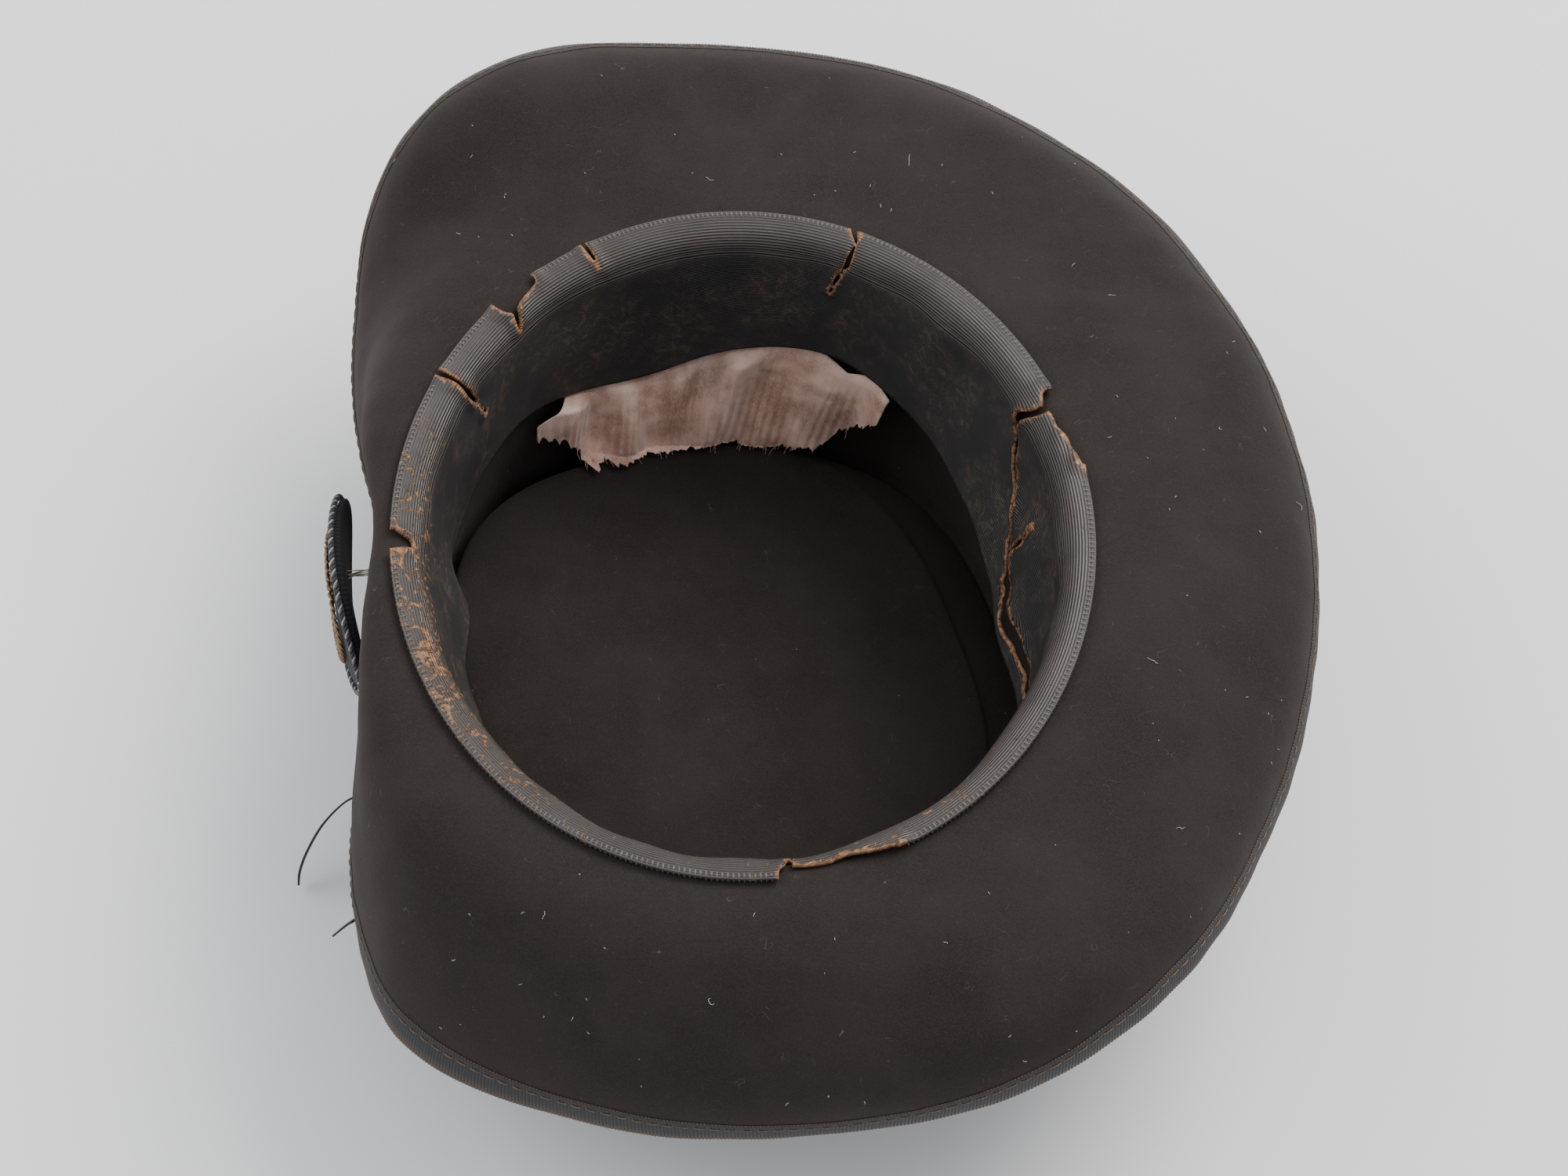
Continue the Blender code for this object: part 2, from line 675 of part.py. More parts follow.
def main():
    clear_scene()
    collection = bpy.data.collections.new("slouch_hat")
    bpy.context.scene.collection.children.link(collection)
    hat = bpy.data.objects.new("hat_frame", None)
    hat.rotation_euler.z = HAT_TURN
    collection.objects.link(hat)
    badge = badge_frame(hat, collection)

    felt = material("black_felt", (0.024, 0.020, 0.018), 0.95)
    ribbon = material("black_ribbon", (0.016, 0.016, 0.019), 0.7)
    leather = material("dark_leather", (0.060, 0.045, 0.038), 0.5)
    silk = material("pink_silk", (0.42, 0.25, 0.18), 0.45)
    velvet = material("black_velvet", (0.010, 0.010, 0.012), 0.9)
    piping = material("black_piping", (0.020, 0.021, 0.026), 0.6)
    wire = material("tarnished_wire", (0.20, 0.13, 0.07), 0.45, 0.6)
    thread = material("grey_thread", (0.30, 0.24, 0.18), 0.8)

    parts = [
        felt_body(felt, hat, collection),
        brim_binding(ribbon, hat, collection),
        sweatband(leather, hat, collection),
        hatband(ribbon, hat, collection),
        lining_remnant(silk, hat, collection),
        ribbon_tail("ribbon_tail_long", LONG_TAIL_ANGLE, LONG_TAIL, LONG_TAIL_REACH, ribbon, hat, collection),
        ribbon_tail("ribbon_tail_short", SHORT_TAIL_ANGLE, SHORT_TAIL, SHORT_TAIL_REACH, ribbon, hat, collection),
        badge_pad(velvet, badge, collection),
        badge_edge_cord(piping, badge, collection),
        badge_embroidery(wire, badge, collection),
        badge_thread(thread, badge, hat, collection),
    ]
    stand_on_origin(hat, parts)


main()
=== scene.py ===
import math
from collections import namedtuple

import bmesh
import bpy
import numpy as np
from mathutils import Euler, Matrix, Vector


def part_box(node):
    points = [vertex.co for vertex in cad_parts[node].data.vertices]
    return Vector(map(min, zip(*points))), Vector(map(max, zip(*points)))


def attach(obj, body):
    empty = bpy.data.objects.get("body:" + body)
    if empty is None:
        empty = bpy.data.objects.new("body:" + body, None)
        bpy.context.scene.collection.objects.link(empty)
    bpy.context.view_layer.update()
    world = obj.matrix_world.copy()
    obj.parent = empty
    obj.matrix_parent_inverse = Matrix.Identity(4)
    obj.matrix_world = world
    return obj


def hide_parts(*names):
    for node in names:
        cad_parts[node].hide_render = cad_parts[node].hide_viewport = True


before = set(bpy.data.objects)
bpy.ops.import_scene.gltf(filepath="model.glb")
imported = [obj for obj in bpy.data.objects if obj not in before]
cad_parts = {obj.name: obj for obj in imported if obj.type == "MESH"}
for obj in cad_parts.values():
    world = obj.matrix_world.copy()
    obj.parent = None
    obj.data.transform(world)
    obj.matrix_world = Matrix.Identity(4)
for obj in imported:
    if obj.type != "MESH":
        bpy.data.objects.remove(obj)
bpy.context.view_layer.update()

# Head opening, crown and brim, as in the CAD: measured on the felt surface that shows from above
HEAD_WIDTH = 0.165
HEAD_LENGTH = 0.1916
HAT_TURN = math.radians(5.0)
FELT_THICKNESS = 0.0021
CROWN_HEIGHT = 0.096
BREAK_RADIUS = 0.006
BRIM_WIDTH = 0.0727
CURL_SHARE = 0.42
DENT_HEIGHT = 0.020
DENT_TILT = 0.15
DENT_EDGE_ROLL = 0.005
REST_WIDTH = 0.0045
FOOT_ROUNDING = 0.002
FIT_GAP = 0.0004
BINDING_REACH = 0.008
SWEATBAND_DEPTH = 0.050
HATBAND_WIDTH = 0.026
RIBBON_THICKNESS = 0.0006
LEATHER_THICKNESS = 0.0010
SILK_THICKNESS = 0.0003
LINING_LIFT = 0.001
TAIL_WIDTH = 0.006
TAIL_THICKNESS = 0.0005
TAIL_ROWS = 90
LONG_TAIL_REACH = 0.030
LONG_TAIL_ANGLE = 193.5
SHORT_TAIL_REACH = 0.009
SHORT_TAIL_ANGLE = 212.0
BADGE_LENGTH = 0.060
BADGE_HEIGHT = 0.037
BADGE_THICKNESS = 0.0046
BADGE_BOW = 0.0040
BADGE_CORD = 0.0014
BADGE_ANGLE = 189.7
BADGE_DOWN = 0.56
BADGE_SPLAY = 3.5
BADGE_LEAN = 1.5
THREAD_ANGLE = 175.0
THREAD_DOWN = 0.34



def table(kind, *rows):
    """Rows of a short table, each with the named columns of its kind."""
    return [kind(*row) for row in rows]


BrimRow = namedtuple("BrimRow", "angle droop roll curl")
BRIM_SECTIONS = table(
    BrimRow,
    (0, 14, 0.50, 62), (30, 6, 0.50, 54), (60, 2, 0.50, 46), (90, -4, 0.50, 48), (115, -20, 0.50, 70),
    (135, 46, 0.54, 38), (152, 86, 0.44, 8), (166, 94, 0.22, 0), (174, 94, 0.14, 0),
    (184, 94, 0.18, 0), (200, 82, 0.36, 10), (215, 70, 0.54, 16), (230, 48, 0.50, 24),
    (250, 48, 0.50, 38), (275, 40, 0.50, 62), (300, 12, 0.50, 74), (330, 24, 0.50, 60),
)
Outline = namedtuple("Outline", "width length shift_x shift_y squareness turn")
FOOT = Outline(0.966, 0.916, -0.014, 0.010, 2.7, 11)
DENT = Outline(0.845, 0.812, -0.040, 0.022, 2.7, 13)
BandRow = namedtuple("BandRow", "angle hang stand_off")
SWEATBAND_SECTIONS = table(
    BandRow,
    (0, 1.00, 0.22), (25, 1.00, 0.18), (45, 0.94, 0.10), (65, 0.86, 0.03), (85, 0.88, 0.03),
    (103, 0.98, 0.03), (120, 0.90, 0.03), (135, 0.78, 0.03), (150, 0.86, 0.04), (162, 0.94, 0.04),
    (172, 0.96, 0.16), (185, 0.96, 0.14), (210, 1.00, 0.14), (240, 1.00, 0.14), (290, 1.00, 0.14),
    (330, 1.00, 0.08),
)

# Fineness of the meshes
TAU = 2.0 * math.pi
FINE_TURNS = 1440
CAD_SEGMENTS = 60
FINE_LENGTHS = np.linspace(0.0, BRIM_WIDTH, 299)
PROBE_LENGTH = 0.0005
PROBE_TURN = 0.01

# The photograph's camera, in metres from the middle of the head opening, and its downward angle
CAMERA_PLACE = Vector((0.0105, -0.5156, 0.8447))
CAMERA_DOWN = 56.4
CAMERA_LENS = 82.26


def between(rows, name, degrees):
    """Value of one column of a table by angle, straight from row to row."""
    return np.interp(degrees, [row.angle for row in rows], [getattr(row, name) for row in rows])


def even_turns(count):
    return np.arange(count) * TAU / count


def raised(plan, height):
    """Points of a plan at a height."""
    height = np.broadcast_to(height, plan.shape[:-1])
    return np.concatenate([plan, height[..., None]], -1)


def clip_ease(t):
    t = np.clip(t, 0.0, 1.0)
    return t * t * (3.0 - 2.0 * t)


def around(rows, name, degrees):
    """Smooth values of one column of a table that runs once round the hat."""
    angles = np.array([row.angle for row in rows], float)
    values = np.array([getattr(row, name) for row in rows], float)
    count = len(rows)
    degrees = np.asarray(degrees, float) % 360.0
    start = np.searchsorted(angles, degrees, side="right") - 1
    knots = [start + offset for offset in (-1, 0, 1, 2)]
    a0, a1, a2, a3 = (angles[knot % count] + 360.0 * (knot // count) for knot in knots)
    v0, v1, v2, v3 = (values[knot % count] for knot in knots)
    step = a2 - a1
    t = (degrees - a1) / step
    slope_1 = (v2 - v0) / (a2 - a0) * step
    slope_2 = (v3 - v1) / (a3 - a1) * step
    return (
        (2 * t**3 - 3 * t**2 + 1) * v1
        + (t**3 - 2 * t**2 + t) * slope_1
        + (3 * t**2 - 2 * t**3) * v2
        + (t**3 - t**2) * slope_2
    )


def ripple(points, wavelength, seed, waves=9):
    """Smooth wandering value of about -1 to 1 over points, with features about one wavelength wide."""
    draw = np.random.default_rng(seed)
    points = np.asarray(points, float)
    total = np.zeros(points.shape[:-1])
    for _ in range(waves):
        direction = draw.normal(size=points.shape[-1])
        direction *= draw.uniform(0.6, 1.5) / np.linalg.norm(direction)
        phase = draw.uniform(0.0, TAU)
        total = total + np.sin(points @ direction * TAU / wavelength + phase)
    return total / math.sqrt(waves)


# Shape of the hat, in the hat's own frame


def head_plan(theta, growth=0.0):
    half_x = HEAD_WIDTH / 2
    half_y = HEAD_LENGTH / 2
    theta, growth = np.broadcast_arrays(np.asarray(theta, float), growth)
    point = np.stack([half_x * np.cos(theta), half_y * np.sin(theta)], -1)
    outward = np.stack([np.cos(theta) / half_x, np.sin(theta) / half_y], -1)
    outward = outward / np.linalg.norm(outward, axis=-1, keepdims=True)
    return point + growth[..., None] * outward, outward


def crown_plan(outline, theta, growth=0.0):
    head, _ = head_plan(theta)
    direction = head / np.linalg.norm(head, axis=-1, keepdims=True)
    bearing = np.arctan2(direction[..., 1], direction[..., 0]) - math.radians(outline.turn)
    across = np.abs(np.cos(bearing)) / (outline.width * HEAD_WIDTH / 2)
    along = np.abs(np.sin(bearing)) / (outline.length * HEAD_LENGTH / 2)
    power = outline.squareness
    radius = (across**power + along**power) ** (-1.0 / power)
    centre = np.array([outline.shift_x * HEAD_WIDTH, outline.shift_y * HEAD_LENGTH])
    return centre + (radius + growth)[..., None] * direction


def dent_centre():
    return np.array([DENT.shift_x * HEAD_WIDTH, DENT.shift_y * HEAD_LENGTH])


def dent_level(plan):
    return DENT_HEIGHT - DENT_TILT * plan[..., 0]


def wall_plan(theta, height, growth=0.0):
    top = CROWN_HEIGHT - BREAK_RADIUS
    foot = FELT_THICKNESS + FOOT_ROUNDING
    rise = np.sin(0.5 * math.pi * np.clip((np.asarray(height) - foot) / (top - foot), 0.0, 1.0))
    low = crown_plan(FOOT, theta, growth)
    high, _ = head_plan(theta, growth)
    return low + (high - low) * rise[..., None]


def wall_point(theta, height, growth=0.0):
    theta, height = np.broadcast_arrays(np.asarray(theta, float), height)
    return raised(wall_plan(theta, height, growth), height)


def brim_profiles():
    """Reach, height and slope of the brim's top side, by arc length and by angle."""
    degrees = np.arange(FINE_TURNS) * 360.0 / FINE_TURNS
    droop = np.radians(around(BRIM_SECTIONS, "droop", degrees))
    curl = np.radians(around(BRIM_SECTIONS, "curl", degrees))
    roll = around(BRIM_SECTIONS, "roll", degrees) * BRIM_WIDTH
    curl_width = CURL_SHARE * BRIM_WIDTH
    lengths = FINE_LENGTHS[:, None]
    slope = droop * clip_ease(lengths / roll)
    slope = slope + curl * clip_ease((lengths - BRIM_WIDTH + curl_width) / curl_width)
    middle = (slope[1:] + slope[:-1]) / 2
    steps = np.diff(lengths, axis=0)
    zero = np.zeros((1, FINE_TURNS))
    reach = np.concatenate([zero, np.cumsum(np.cos(middle) * steps, axis=0)])
    height = -np.concatenate([zero, np.cumsum(np.sin(middle) * steps, axis=0)])
    return reach, height, slope


BRIM_REACH, BRIM_HEIGHT, BRIM_SLOPE = brim_profiles()


def look_up(grid, theta, length):
    """Value of a brim profile between its samples."""
    row = np.clip(length / FINE_LENGTHS[1], 0.0, len(FINE_LENGTHS) - 1.001)
    turn = (theta / TAU * FINE_TURNS) % FINE_TURNS
    i, j = row.astype(int), turn.astype(int) % FINE_TURNS
    s, t = row - i, turn - np.floor(turn)
    k = (j + 1) % FINE_TURNS
    near = grid[i, j] * (1 - t) + grid[i, k] * t
    far = grid[i + 1, j] * (1 - t) + grid[i + 1, k] * t
    return near * (1 - s) + far * s


def brim_surface(theta, length):
    theta, length = np.broadcast_arrays(np.asarray(theta, float), length)
    start, outward = head_plan(theta, BREAK_RADIUS)
    inside = np.minimum(length, BRIM_WIDTH)
    beyond = length - inside
    tilt = look_up(BRIM_SLOPE, theta, inside)
    out = look_up(BRIM_REACH, theta, inside) + beyond * np.cos(tilt)
    up = look_up(BRIM_HEIGHT, theta, inside) - beyond * np.sin(tilt)
    plan = start + out[..., None] * outward
    return raised(plan, CROWN_HEIGHT + up)


def brim_point(theta, length, lift=0.0):
    """Point that stands off the brim's top side by lift, square to the surface."""
    theta, length, lift = np.broadcast_arrays(np.asarray(theta, float), length, lift)
    inside = np.clip(length, PROBE_LENGTH, BRIM_WIDTH - PROBE_LENGTH)
    along = brim_surface(theta, inside + PROBE_LENGTH) - brim_surface(theta, inside - PROBE_LENGTH)
    turned = brim_surface(theta + PROBE_TURN, inside) - brim_surface(theta - PROBE_TURN, inside)
    normal = np.cross(along, turned)
    normal /= np.linalg.norm(normal, axis=-1, keepdims=True)
    base = brim_surface(theta, length)
    waves = 0.00030 * ripple(base, 0.055, 3) + 0.00012 * ripple(base, 0.017, 4)
    return base + (lift + clip_ease(length / 0.012) * waves)[..., None] * normal


def break_point(theta, turn, lift=0.0):
    theta, turn = np.broadcast_arrays(np.asarray(theta, float), turn)
    radius = BREAK_RADIUS + lift
    plan, _ = head_plan(theta, BREAK_RADIUS - radius * np.cos(turn))
    return raised(plan, CROWN_HEIGHT - BREAK_RADIUS + radius * np.sin(turn))


def hat_shift():
    """Where the middle of the head opening stands in the row frame, from the CAD felt's own box."""
    theta = even_turns(CAD_SEGMENTS)
    points = np.concatenate([
        brim_point(theta, share * BRIM_WIDTH, -FELT_THICKNESS * below)
        for share in (0.77, 0.89, 0.945, 1.0) for below in (0, 1)
    ])
    x = points[:, 0] * math.cos(HAT_TURN) - points[:, 1] * math.sin(HAT_TURN)
    y = points[:, 0] * math.sin(HAT_TURN) + points[:, 1] * math.cos(HAT_TURN)
    low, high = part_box("felt_body")
    shift_x = (low.x + high.x - x.min() - x.max()) / 2
    shift_y = (low.y + high.y - y.min() - y.max()) / 2
    return Vector((shift_x, shift_y, 0.0))


HAT_SHIFT = hat_shift()


def place(points):
    """Points of the hat's own frame in the row frame."""
    points = np.asarray(points, float)
    c, s = math.cos(HAT_TURN), math.sin(HAT_TURN)
    return np.stack([
        points[..., 0] * c - points[..., 1] * s + HAT_SHIFT.x,
        points[..., 0] * s + points[..., 1] * c + HAT_SHIFT.y,
        points[..., 2],
    ], -1)


# Mesh building


def finish_object(name, mesh, material, slot, *nodes):
    """Put a mesh in the scene, riding on the hat's one body."""
    mesh.shade_smooth()
    piece = bpy.data.objects.new(name, mesh)
    piece.data.materials.append(material)
    bpy.context.scene.collection.objects.link(piece)
    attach(piece, "root")
    if nodes:
        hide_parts(*nodes)
    return piece


def thicken(piece, thickness, side):
    """Give an open sheet its thickness; side is 1 along its normals and -1 against them."""
    solid = piece.modifiers.new("thickness", "SOLIDIFY")
    solid.thickness = thickness
    solid.offset = side
    return piece


def grid_mesh(name, rings, closed=True, first_pole=None, last_pole=None, uv=None, keep=None):
    """Skin a grid of points [row, column] into a mesh. uv has one more column when closed."""
    rings = place(rings)
    rows, columns = rings.shape[:2]
    spans = columns if closed else columns - 1
    row, column = np.meshgrid(np.arange(rows - 1), np.arange(spans), indexing="ij")
    following = (column + 1) % columns
    quads = np.stack([
        row * columns + column,
        row * columns + following,
        (row + 1) * columns + following,
        (row + 1) * columns + column,
    ], -1)
    kept = np.ones((rows - 1, spans), bool) if keep is None else keep
    quads = quads[kept]
    vertices = rings.reshape(-1, 3).tolist()
    faces = quads.tolist()
    for pole, ring, flip in ((first_pole, 0, True), (last_pole, rows - 1, False)):
        if pole is None:
            continue
        vertices.append(place(np.asarray(pole, float)).tolist())
        centre = len(vertices) - 1
        for step in range(spans):
            a, b = ring * columns + step, ring * columns + (step + 1) % columns
            faces.append([centre, b, a] if flip else [centre, a, b])
    mesh = bpy.data.meshes.new(name)
    mesh.from_pydata(vertices, [], faces)
    if uv is not None:
        corners = np.stack([uv[:-1, :-1], uv[:-1, 1:], uv[1:, 1:], uv[1:, :-1]], 2)[kept]
        layer = mesh.uv_layers.new(name="UVMap")
        layer.data.foreach_set("uv", corners.astype(np.float32).ravel())
    mesh.update()
    return mesh


def give_attribute(mesh, name, values):
    """Store one number per vertex for the material."""
    layer = mesh.attributes.new(name, "FLOAT", "POINT")
    full = np.zeros(len(mesh.vertices), np.float32)
    values = np.asarray(values, np.float32).ravel()
    full[: len(values)] = values
    layer.data.foreach_set("value", full)


def smooth_rows(rows, count):
    """Catmull-Rom curve through rows of points, resampled to count rows."""
    rows = np.asarray(rows, float)
    padded = np.concatenate([2 * rows[:1] - rows[1:2], rows, 2 * rows[-1:] - rows[-2:-1]])
    at = np.linspace(0.0, len(rows) - 1, count)
    i = np.minimum(at.astype(int), len(rows) - 2)
    t = (at - i).reshape((-1,) + (1,) * (rows.ndim - 1))
    p0, p1, p2, p3 = (padded[i + k] for k in range(4))
    return 0.5 * (
        2 * p1 + (p2 - p0) * t + (2 * p0 - 5 * p1 + 4 * p2 - p3) * t**2
        + (3 * p1 - p0 - 3 * p2 + p3) * t**3
    )


def tubes(name, paths, radius, sides, taper=0.0):
    """Round strands along many short paths, as one mesh with closed ends."""
    vertices, faces = [], []
    for path in paths:
        path = np.asarray(path, float)
        count = len(path)
        along = np.gradient(path, axis=0)
        along /= np.linalg.norm(along, axis=1, keepdims=True)
        aside = np.array([0.0, 0.0, 1.0]) if abs(along[0][2]) < 0.8 else np.array([1.0, 0.0, 0.0])
        first = len(vertices)
        for step in range(count):
            across = np.cross(along[step], aside)
            across /= np.linalg.norm(across)
            other = np.cross(along[step], across)
            share = abs(2.0 * step / (count - 1) - 1.0)
            size = radius * (1.0 - taper * share**2)
            for side in range(sides):
                turn = TAU * side / sides
                vertices.append(path[step] + size * (math.cos(turn) * across + math.sin(turn) * other))
        for step in range(count - 1):
            for side in range(sides):
                a = first + step * sides + side
                b = first + step * sides + (side + 1) % sides
                faces.append([a, b, b + sides, a + sides])
        faces.append([first + side for side in reversed(range(sides))])
        faces.append([first + (count - 1) * sides + side for side in range(sides)])
    mesh = bpy.data.meshes.new(name)
    mesh.from_pydata(place(np.array(vertices)).tolist(), [], faces)
    mesh.update()
    return mesh


def strands(name, paths, radius, sides, taper, *looks):
    """Tubes along paths as a finished object; looks are its material, a slot name that is not used, and
    replaced nodes.
    """
    return finish_object(name, tubes(name, paths, radius, sides, taper), *looks)


# Materials


class Nodes:
    """Short way to build a node tree."""

    def __init__(self, name):
        self.material = bpy.data.materials.new(name)
        self.material.use_nodes = True
        self.tree = self.material.node_tree
        self.shader = self.tree.nodes["Principled BSDF"]

    def add(self, kind, **settings):
        node = self.tree.nodes.new(kind)
        for key, value in settings.items():
            setattr(node, key, value)
        return node

    def feed(self, socket, value):
        if isinstance(value, bpy.types.NodeSocket):
            self.tree.links.new(value, socket)
        else:
            socket.default_value = value

    def place(self):
        return self.add("ShaderNodeTexCoord").outputs["Object"]

    def uv(self):
        node = self.add("ShaderNodeSeparateXYZ")
        self.feed(node.inputs[0], self.add("ShaderNodeTexCoord").outputs["UV"])
        return node.outputs["X"], node.outputs["Y"]

    def attribute(self, name):
        return self.add("ShaderNodeAttribute", attribute_name=name).outputs["Fac"]

    def math(self, operation, a, b=0.0):
        node = self.add("ShaderNodeMath", operation=operation)
        self.feed(node.inputs[0], a)
        self.feed(node.inputs[1], b)
        return node.outputs[0]

    def plus(self, a, b):
        return self.math("ADD", a, b)

    def minus(self, a, b):
        return self.math("SUBTRACT", a, b)

    def times(self, a, b):
        return self.math("MULTIPLY", a, b)

    def noise(self, scale, detail=4.0, rough=0.5, vector=None, distortion=0.0):
        node = self.add("ShaderNodeTexNoise")
        self.feed(node.inputs["Vector"], self.place() if vector is None else vector)
        settings = {"Scale": scale, "Detail": detail, "Roughness": rough, "Distortion": distortion}
        for key, value in settings.items():
            self.feed(node.inputs[key], value)
        return node.outputs["Fac"]

    def cells(self, scale):
        node = self.add("ShaderNodeTexVoronoi")
        self.feed(node.inputs["Vector"], self.place())
        self.feed(node.inputs["Scale"], scale)
        return node.outputs["Distance"]

    def stretch(self, vector, scale):
        node = self.add("ShaderNodeMapping")
        self.feed(node.inputs["Vector"], vector)
        self.feed(node.inputs["Scale"], scale)
        return node.outputs[0]

    def span(self, value, low, high, out_low=0.0, out_high=1.0):
        """Value mapped from low..high to out_low..out_high, clamped and eased."""
        node = self.add("ShaderNodeMapRange", interpolation_type="SMOOTHSTEP")
        for key, number in zip(("Value", "From Min", "From Max", "To Min", "To Max"),
                               (value, low, high, out_low, out_high)):
            self.feed(node.inputs[key], number)
        return node.outputs[0]

    def mix(self, share, a, b):
        node = self.add("ShaderNodeMix", data_type="RGBA")
        self.feed(node.inputs["Factor"], share)
        colours = [socket for socket in node.inputs if socket.type == "RGBA"]
        for socket, value in zip(colours, (a, b)):
            self.feed(socket, value if isinstance(value, bpy.types.NodeSocket) else (*value, 1.0))
        return [socket for socket in node.outputs if socket.type == "RGBA"][0]

    def bump(self, height, distance, strength=1.0):
        node = self.add("ShaderNodeBump")
        self.feed(node.inputs["Height"], height)
        self.feed(node.inputs["Distance"], distance)
        self.feed(node.inputs["Strength"], strength)
        return node.outputs[0]

    def done(self, colour, roughness, normal=None, **constants):
        if isinstance(colour, bpy.types.NodeSocket):
            self.feed(self.shader.inputs["Base Color"], colour)
        else:
            self.shader.inputs["Base Color"].default_value = (*colour, 1.0)
        self.feed(self.shader.inputs["Roughness"], roughness)
        if normal is not None:
            self.feed(self.shader.inputs["Normal"], normal)
        for key, value in constants.items():
            self.shader.inputs[key.replace("_", " ")].default_value = value
        return self.material


def felt_material():
    m = Nodes("felt_look")
    cloud = m.noise(38.0, 5.0, 0.6)
    nap = m.noise(2600.0, 3.0, 0.6)
    fibre = m.noise(900.0, 2.0, 0.5, distortion=1.2)
    colour = m.mix(m.span(cloud, 0.3, 0.7), (0.0150, 0.0115, 0.0100), (0.0225, 0.0178, 0.0157))
    colour = m.mix(m.span(nap, 0.35, 0.75, 0.0, 0.55), colour, (0.040, 0.0315, 0.0280))
    strand = m.math("ABSOLUTE", m.minus(m.noise(170.0, 1.0, 0.4), 0.5))
    strand = m.span(strand, 0.0, 0.0028, 1.0, 0.0)
    strand = m.times(strand, m.span(m.noise(300.0, 1.0), 0.60, 0.66))
    colour = m.mix(m.times(strand, 0.5), colour, (0.16, 0.14, 0.13))
    speck = m.span(m.cells(125.0), 0.0, 0.035, 1.0, 0.0)
    speck = m.times(speck, m.span(m.noise(60.0, 1.0), 0.52, 0.56))
    colour = m.mix(m.times(speck, 0.8), colour, (0.42, 0.40, 0.38))
    height = m.plus(m.times(nap, 0.6), m.times(fibre, 0.8))
    return m.done(colour, 0.95, m.bump(height, 0.00025, 0.6), Sheen_Weight=0.10, Sheen_Roughness=0.5,
                  Sheen_Tint=(0.55, 0.47, 0.43, 1.0), Specular_IOR_Level=0.2)


def ribbon_material():
    m = Nodes("ribbon_look")
    u, v = m.uv()
    rib = m.math("ABSOLUTE", m.math("SINE", m.times(u, math.pi)))
    # Painted highlight: the rib tops are painted a lighter, bluish black than the grooves between them.
    colour = m.mix(rib, (0.005, 0.005, 0.006), (0.020, 0.022, 0.026))
    worn = m.times(m.span(v, 0.60, 0.95), m.span(rib, 0.3, 0.8))
    colour = m.mix(worn, colour, (0.075, 0.044, 0.027))
    colour = m.mix(m.span(v, 0.24, 0.20), colour, (0.026, 0.020, 0.016))
    fuzz = m.noise(2500.0, 2.0)
    colour = m.mix(m.span(fuzz, 0.5, 0.8, 0.0, 0.3), colour, (0.050, 0.046, 0.043))
    return m.done(colour, 0.75, m.bump(fuzz, 0.00008), Sheen_Weight=0.04)


def leather_material():
    """Ribbed, worn leather; the attribute wear marks its raw parts, and roll marks its smoother rolled
    edge, which also gets a painted sheen and painted highlights on its rib tops.
    """
    m = Nodes("leather_look")
    _, v = m.uv()
    rib = m.math("SINE", m.times(v, TAU / 0.0066))
    grain = m.noise(700.0, 4.0, 0.6)
    cloud = m.noise(70.0, 5.0, 0.65)
    fibre = m.noise(260.0, 5.0, 0.7, distortion=1.5)
    colour = m.mix(m.span(cloud, 0.35, 0.62), (0.0050, 0.0048, 0.0065), (0.016, 0.013, 0.012))
    brown = m.times(m.span(fibre, 0.48, 0.62), m.span(cloud, 0.40, 0.60))
    colour = m.mix(brown, colour, (0.072, 0.044, 0.029))
    roll = m.attribute("roll")
    # Painted sheen: a lighter grey painted over the rolled edge, patchy by noise.
    painted_sheen = m.times(roll, m.span(cloud, 0.25, 0.60, 0.45, 0.85))
    colour = m.mix(painted_sheen, colour, (0.046, 0.038, 0.034))
    # Painted highlight: the rib tops are painted a lighter grey, more so on the rolled edge.
    crest_highlight = m.times(m.span(rib, -0.2, 0.9), m.plus(m.times(roll, 0.40), 0.22))
    colour = m.mix(crest_highlight, colour, (0.088, 0.074, 0.066))
    ragged = m.plus(m.attribute("wear"), m.times(m.minus(fibre, 0.5), 1.9))
    raw = m.span(ragged, 0.48, 0.60)
    tan = m.mix(m.span(grain, 0.35, 0.65), (0.13, 0.052, 0.022), (0.36, 0.185, 0.085))
    colour = m.mix(m.times(raw, 0.9), colour, tan)
    height = m.plus(m.times(rib, 0.5), m.times(grain, 0.5))
    height = m.minus(height, m.times(raw, 0.9))
    rough = m.span(roll, 0.0, 1.0, 0.62, 0.42)
    return m.done(colour, rough, m.bump(height, 0.00022, 0.9))


def silk_material():
    """Old silk: noise mixes a painted shade brown with a painted bright pink, under stains and a fine
    weave.
    """
    m = Nodes("silk_look")
    cloud = m.noise(90.0, 4.0, 0.6)
    stain = m.noise(45.0, 3.0, 0.5, distortion=0.8)
    weave = m.noise(2600.0, 2.0, 0.5, vector=m.stretch(m.place(), (1.0, 1.0, 0.15)))
    # Painted light and shade: a shaded brown and a lit pale pink, mixed by noise, not by the folds.
    colour = m.mix(m.span(cloud, 0.3, 0.7), (0.36, 0.185, 0.120), (0.80, 0.53, 0.43))
    colour = m.mix(m.span(stain, 0.55, 0.70, 0.0, 0.6), colour, (0.20, 0.105, 0.065))
    colour = m.mix(m.span(weave, 0.35, 0.75, 0.0, 0.35), colour, (0.72, 0.54, 0.46))
    height = m.plus(weave, m.times(m.noise(420.0, 4.0, 0.6), 0.8))
    return m.done(colour, 0.38, m.bump(height, 0.00018, 0.7), Sheen_Weight=0.35, Specular_IOR_Level=0.6)


def plain_material(name, colour, roughness, grain=900.0, **constants):
    m = Nodes(name)
    fine = m.noise(grain, 3.0, 0.6)
    shade = tuple(0.55 * value for value in colour)
    mottled = m.mix(m.span(fine, 0.3, 0.7), shade, colour)
    return m.done(mottled, roughness, m.bump(fine, 0.0001), **constants)


# Felt

FELT_COLUMNS = 384
EDGE_RADIUS = 0.0006


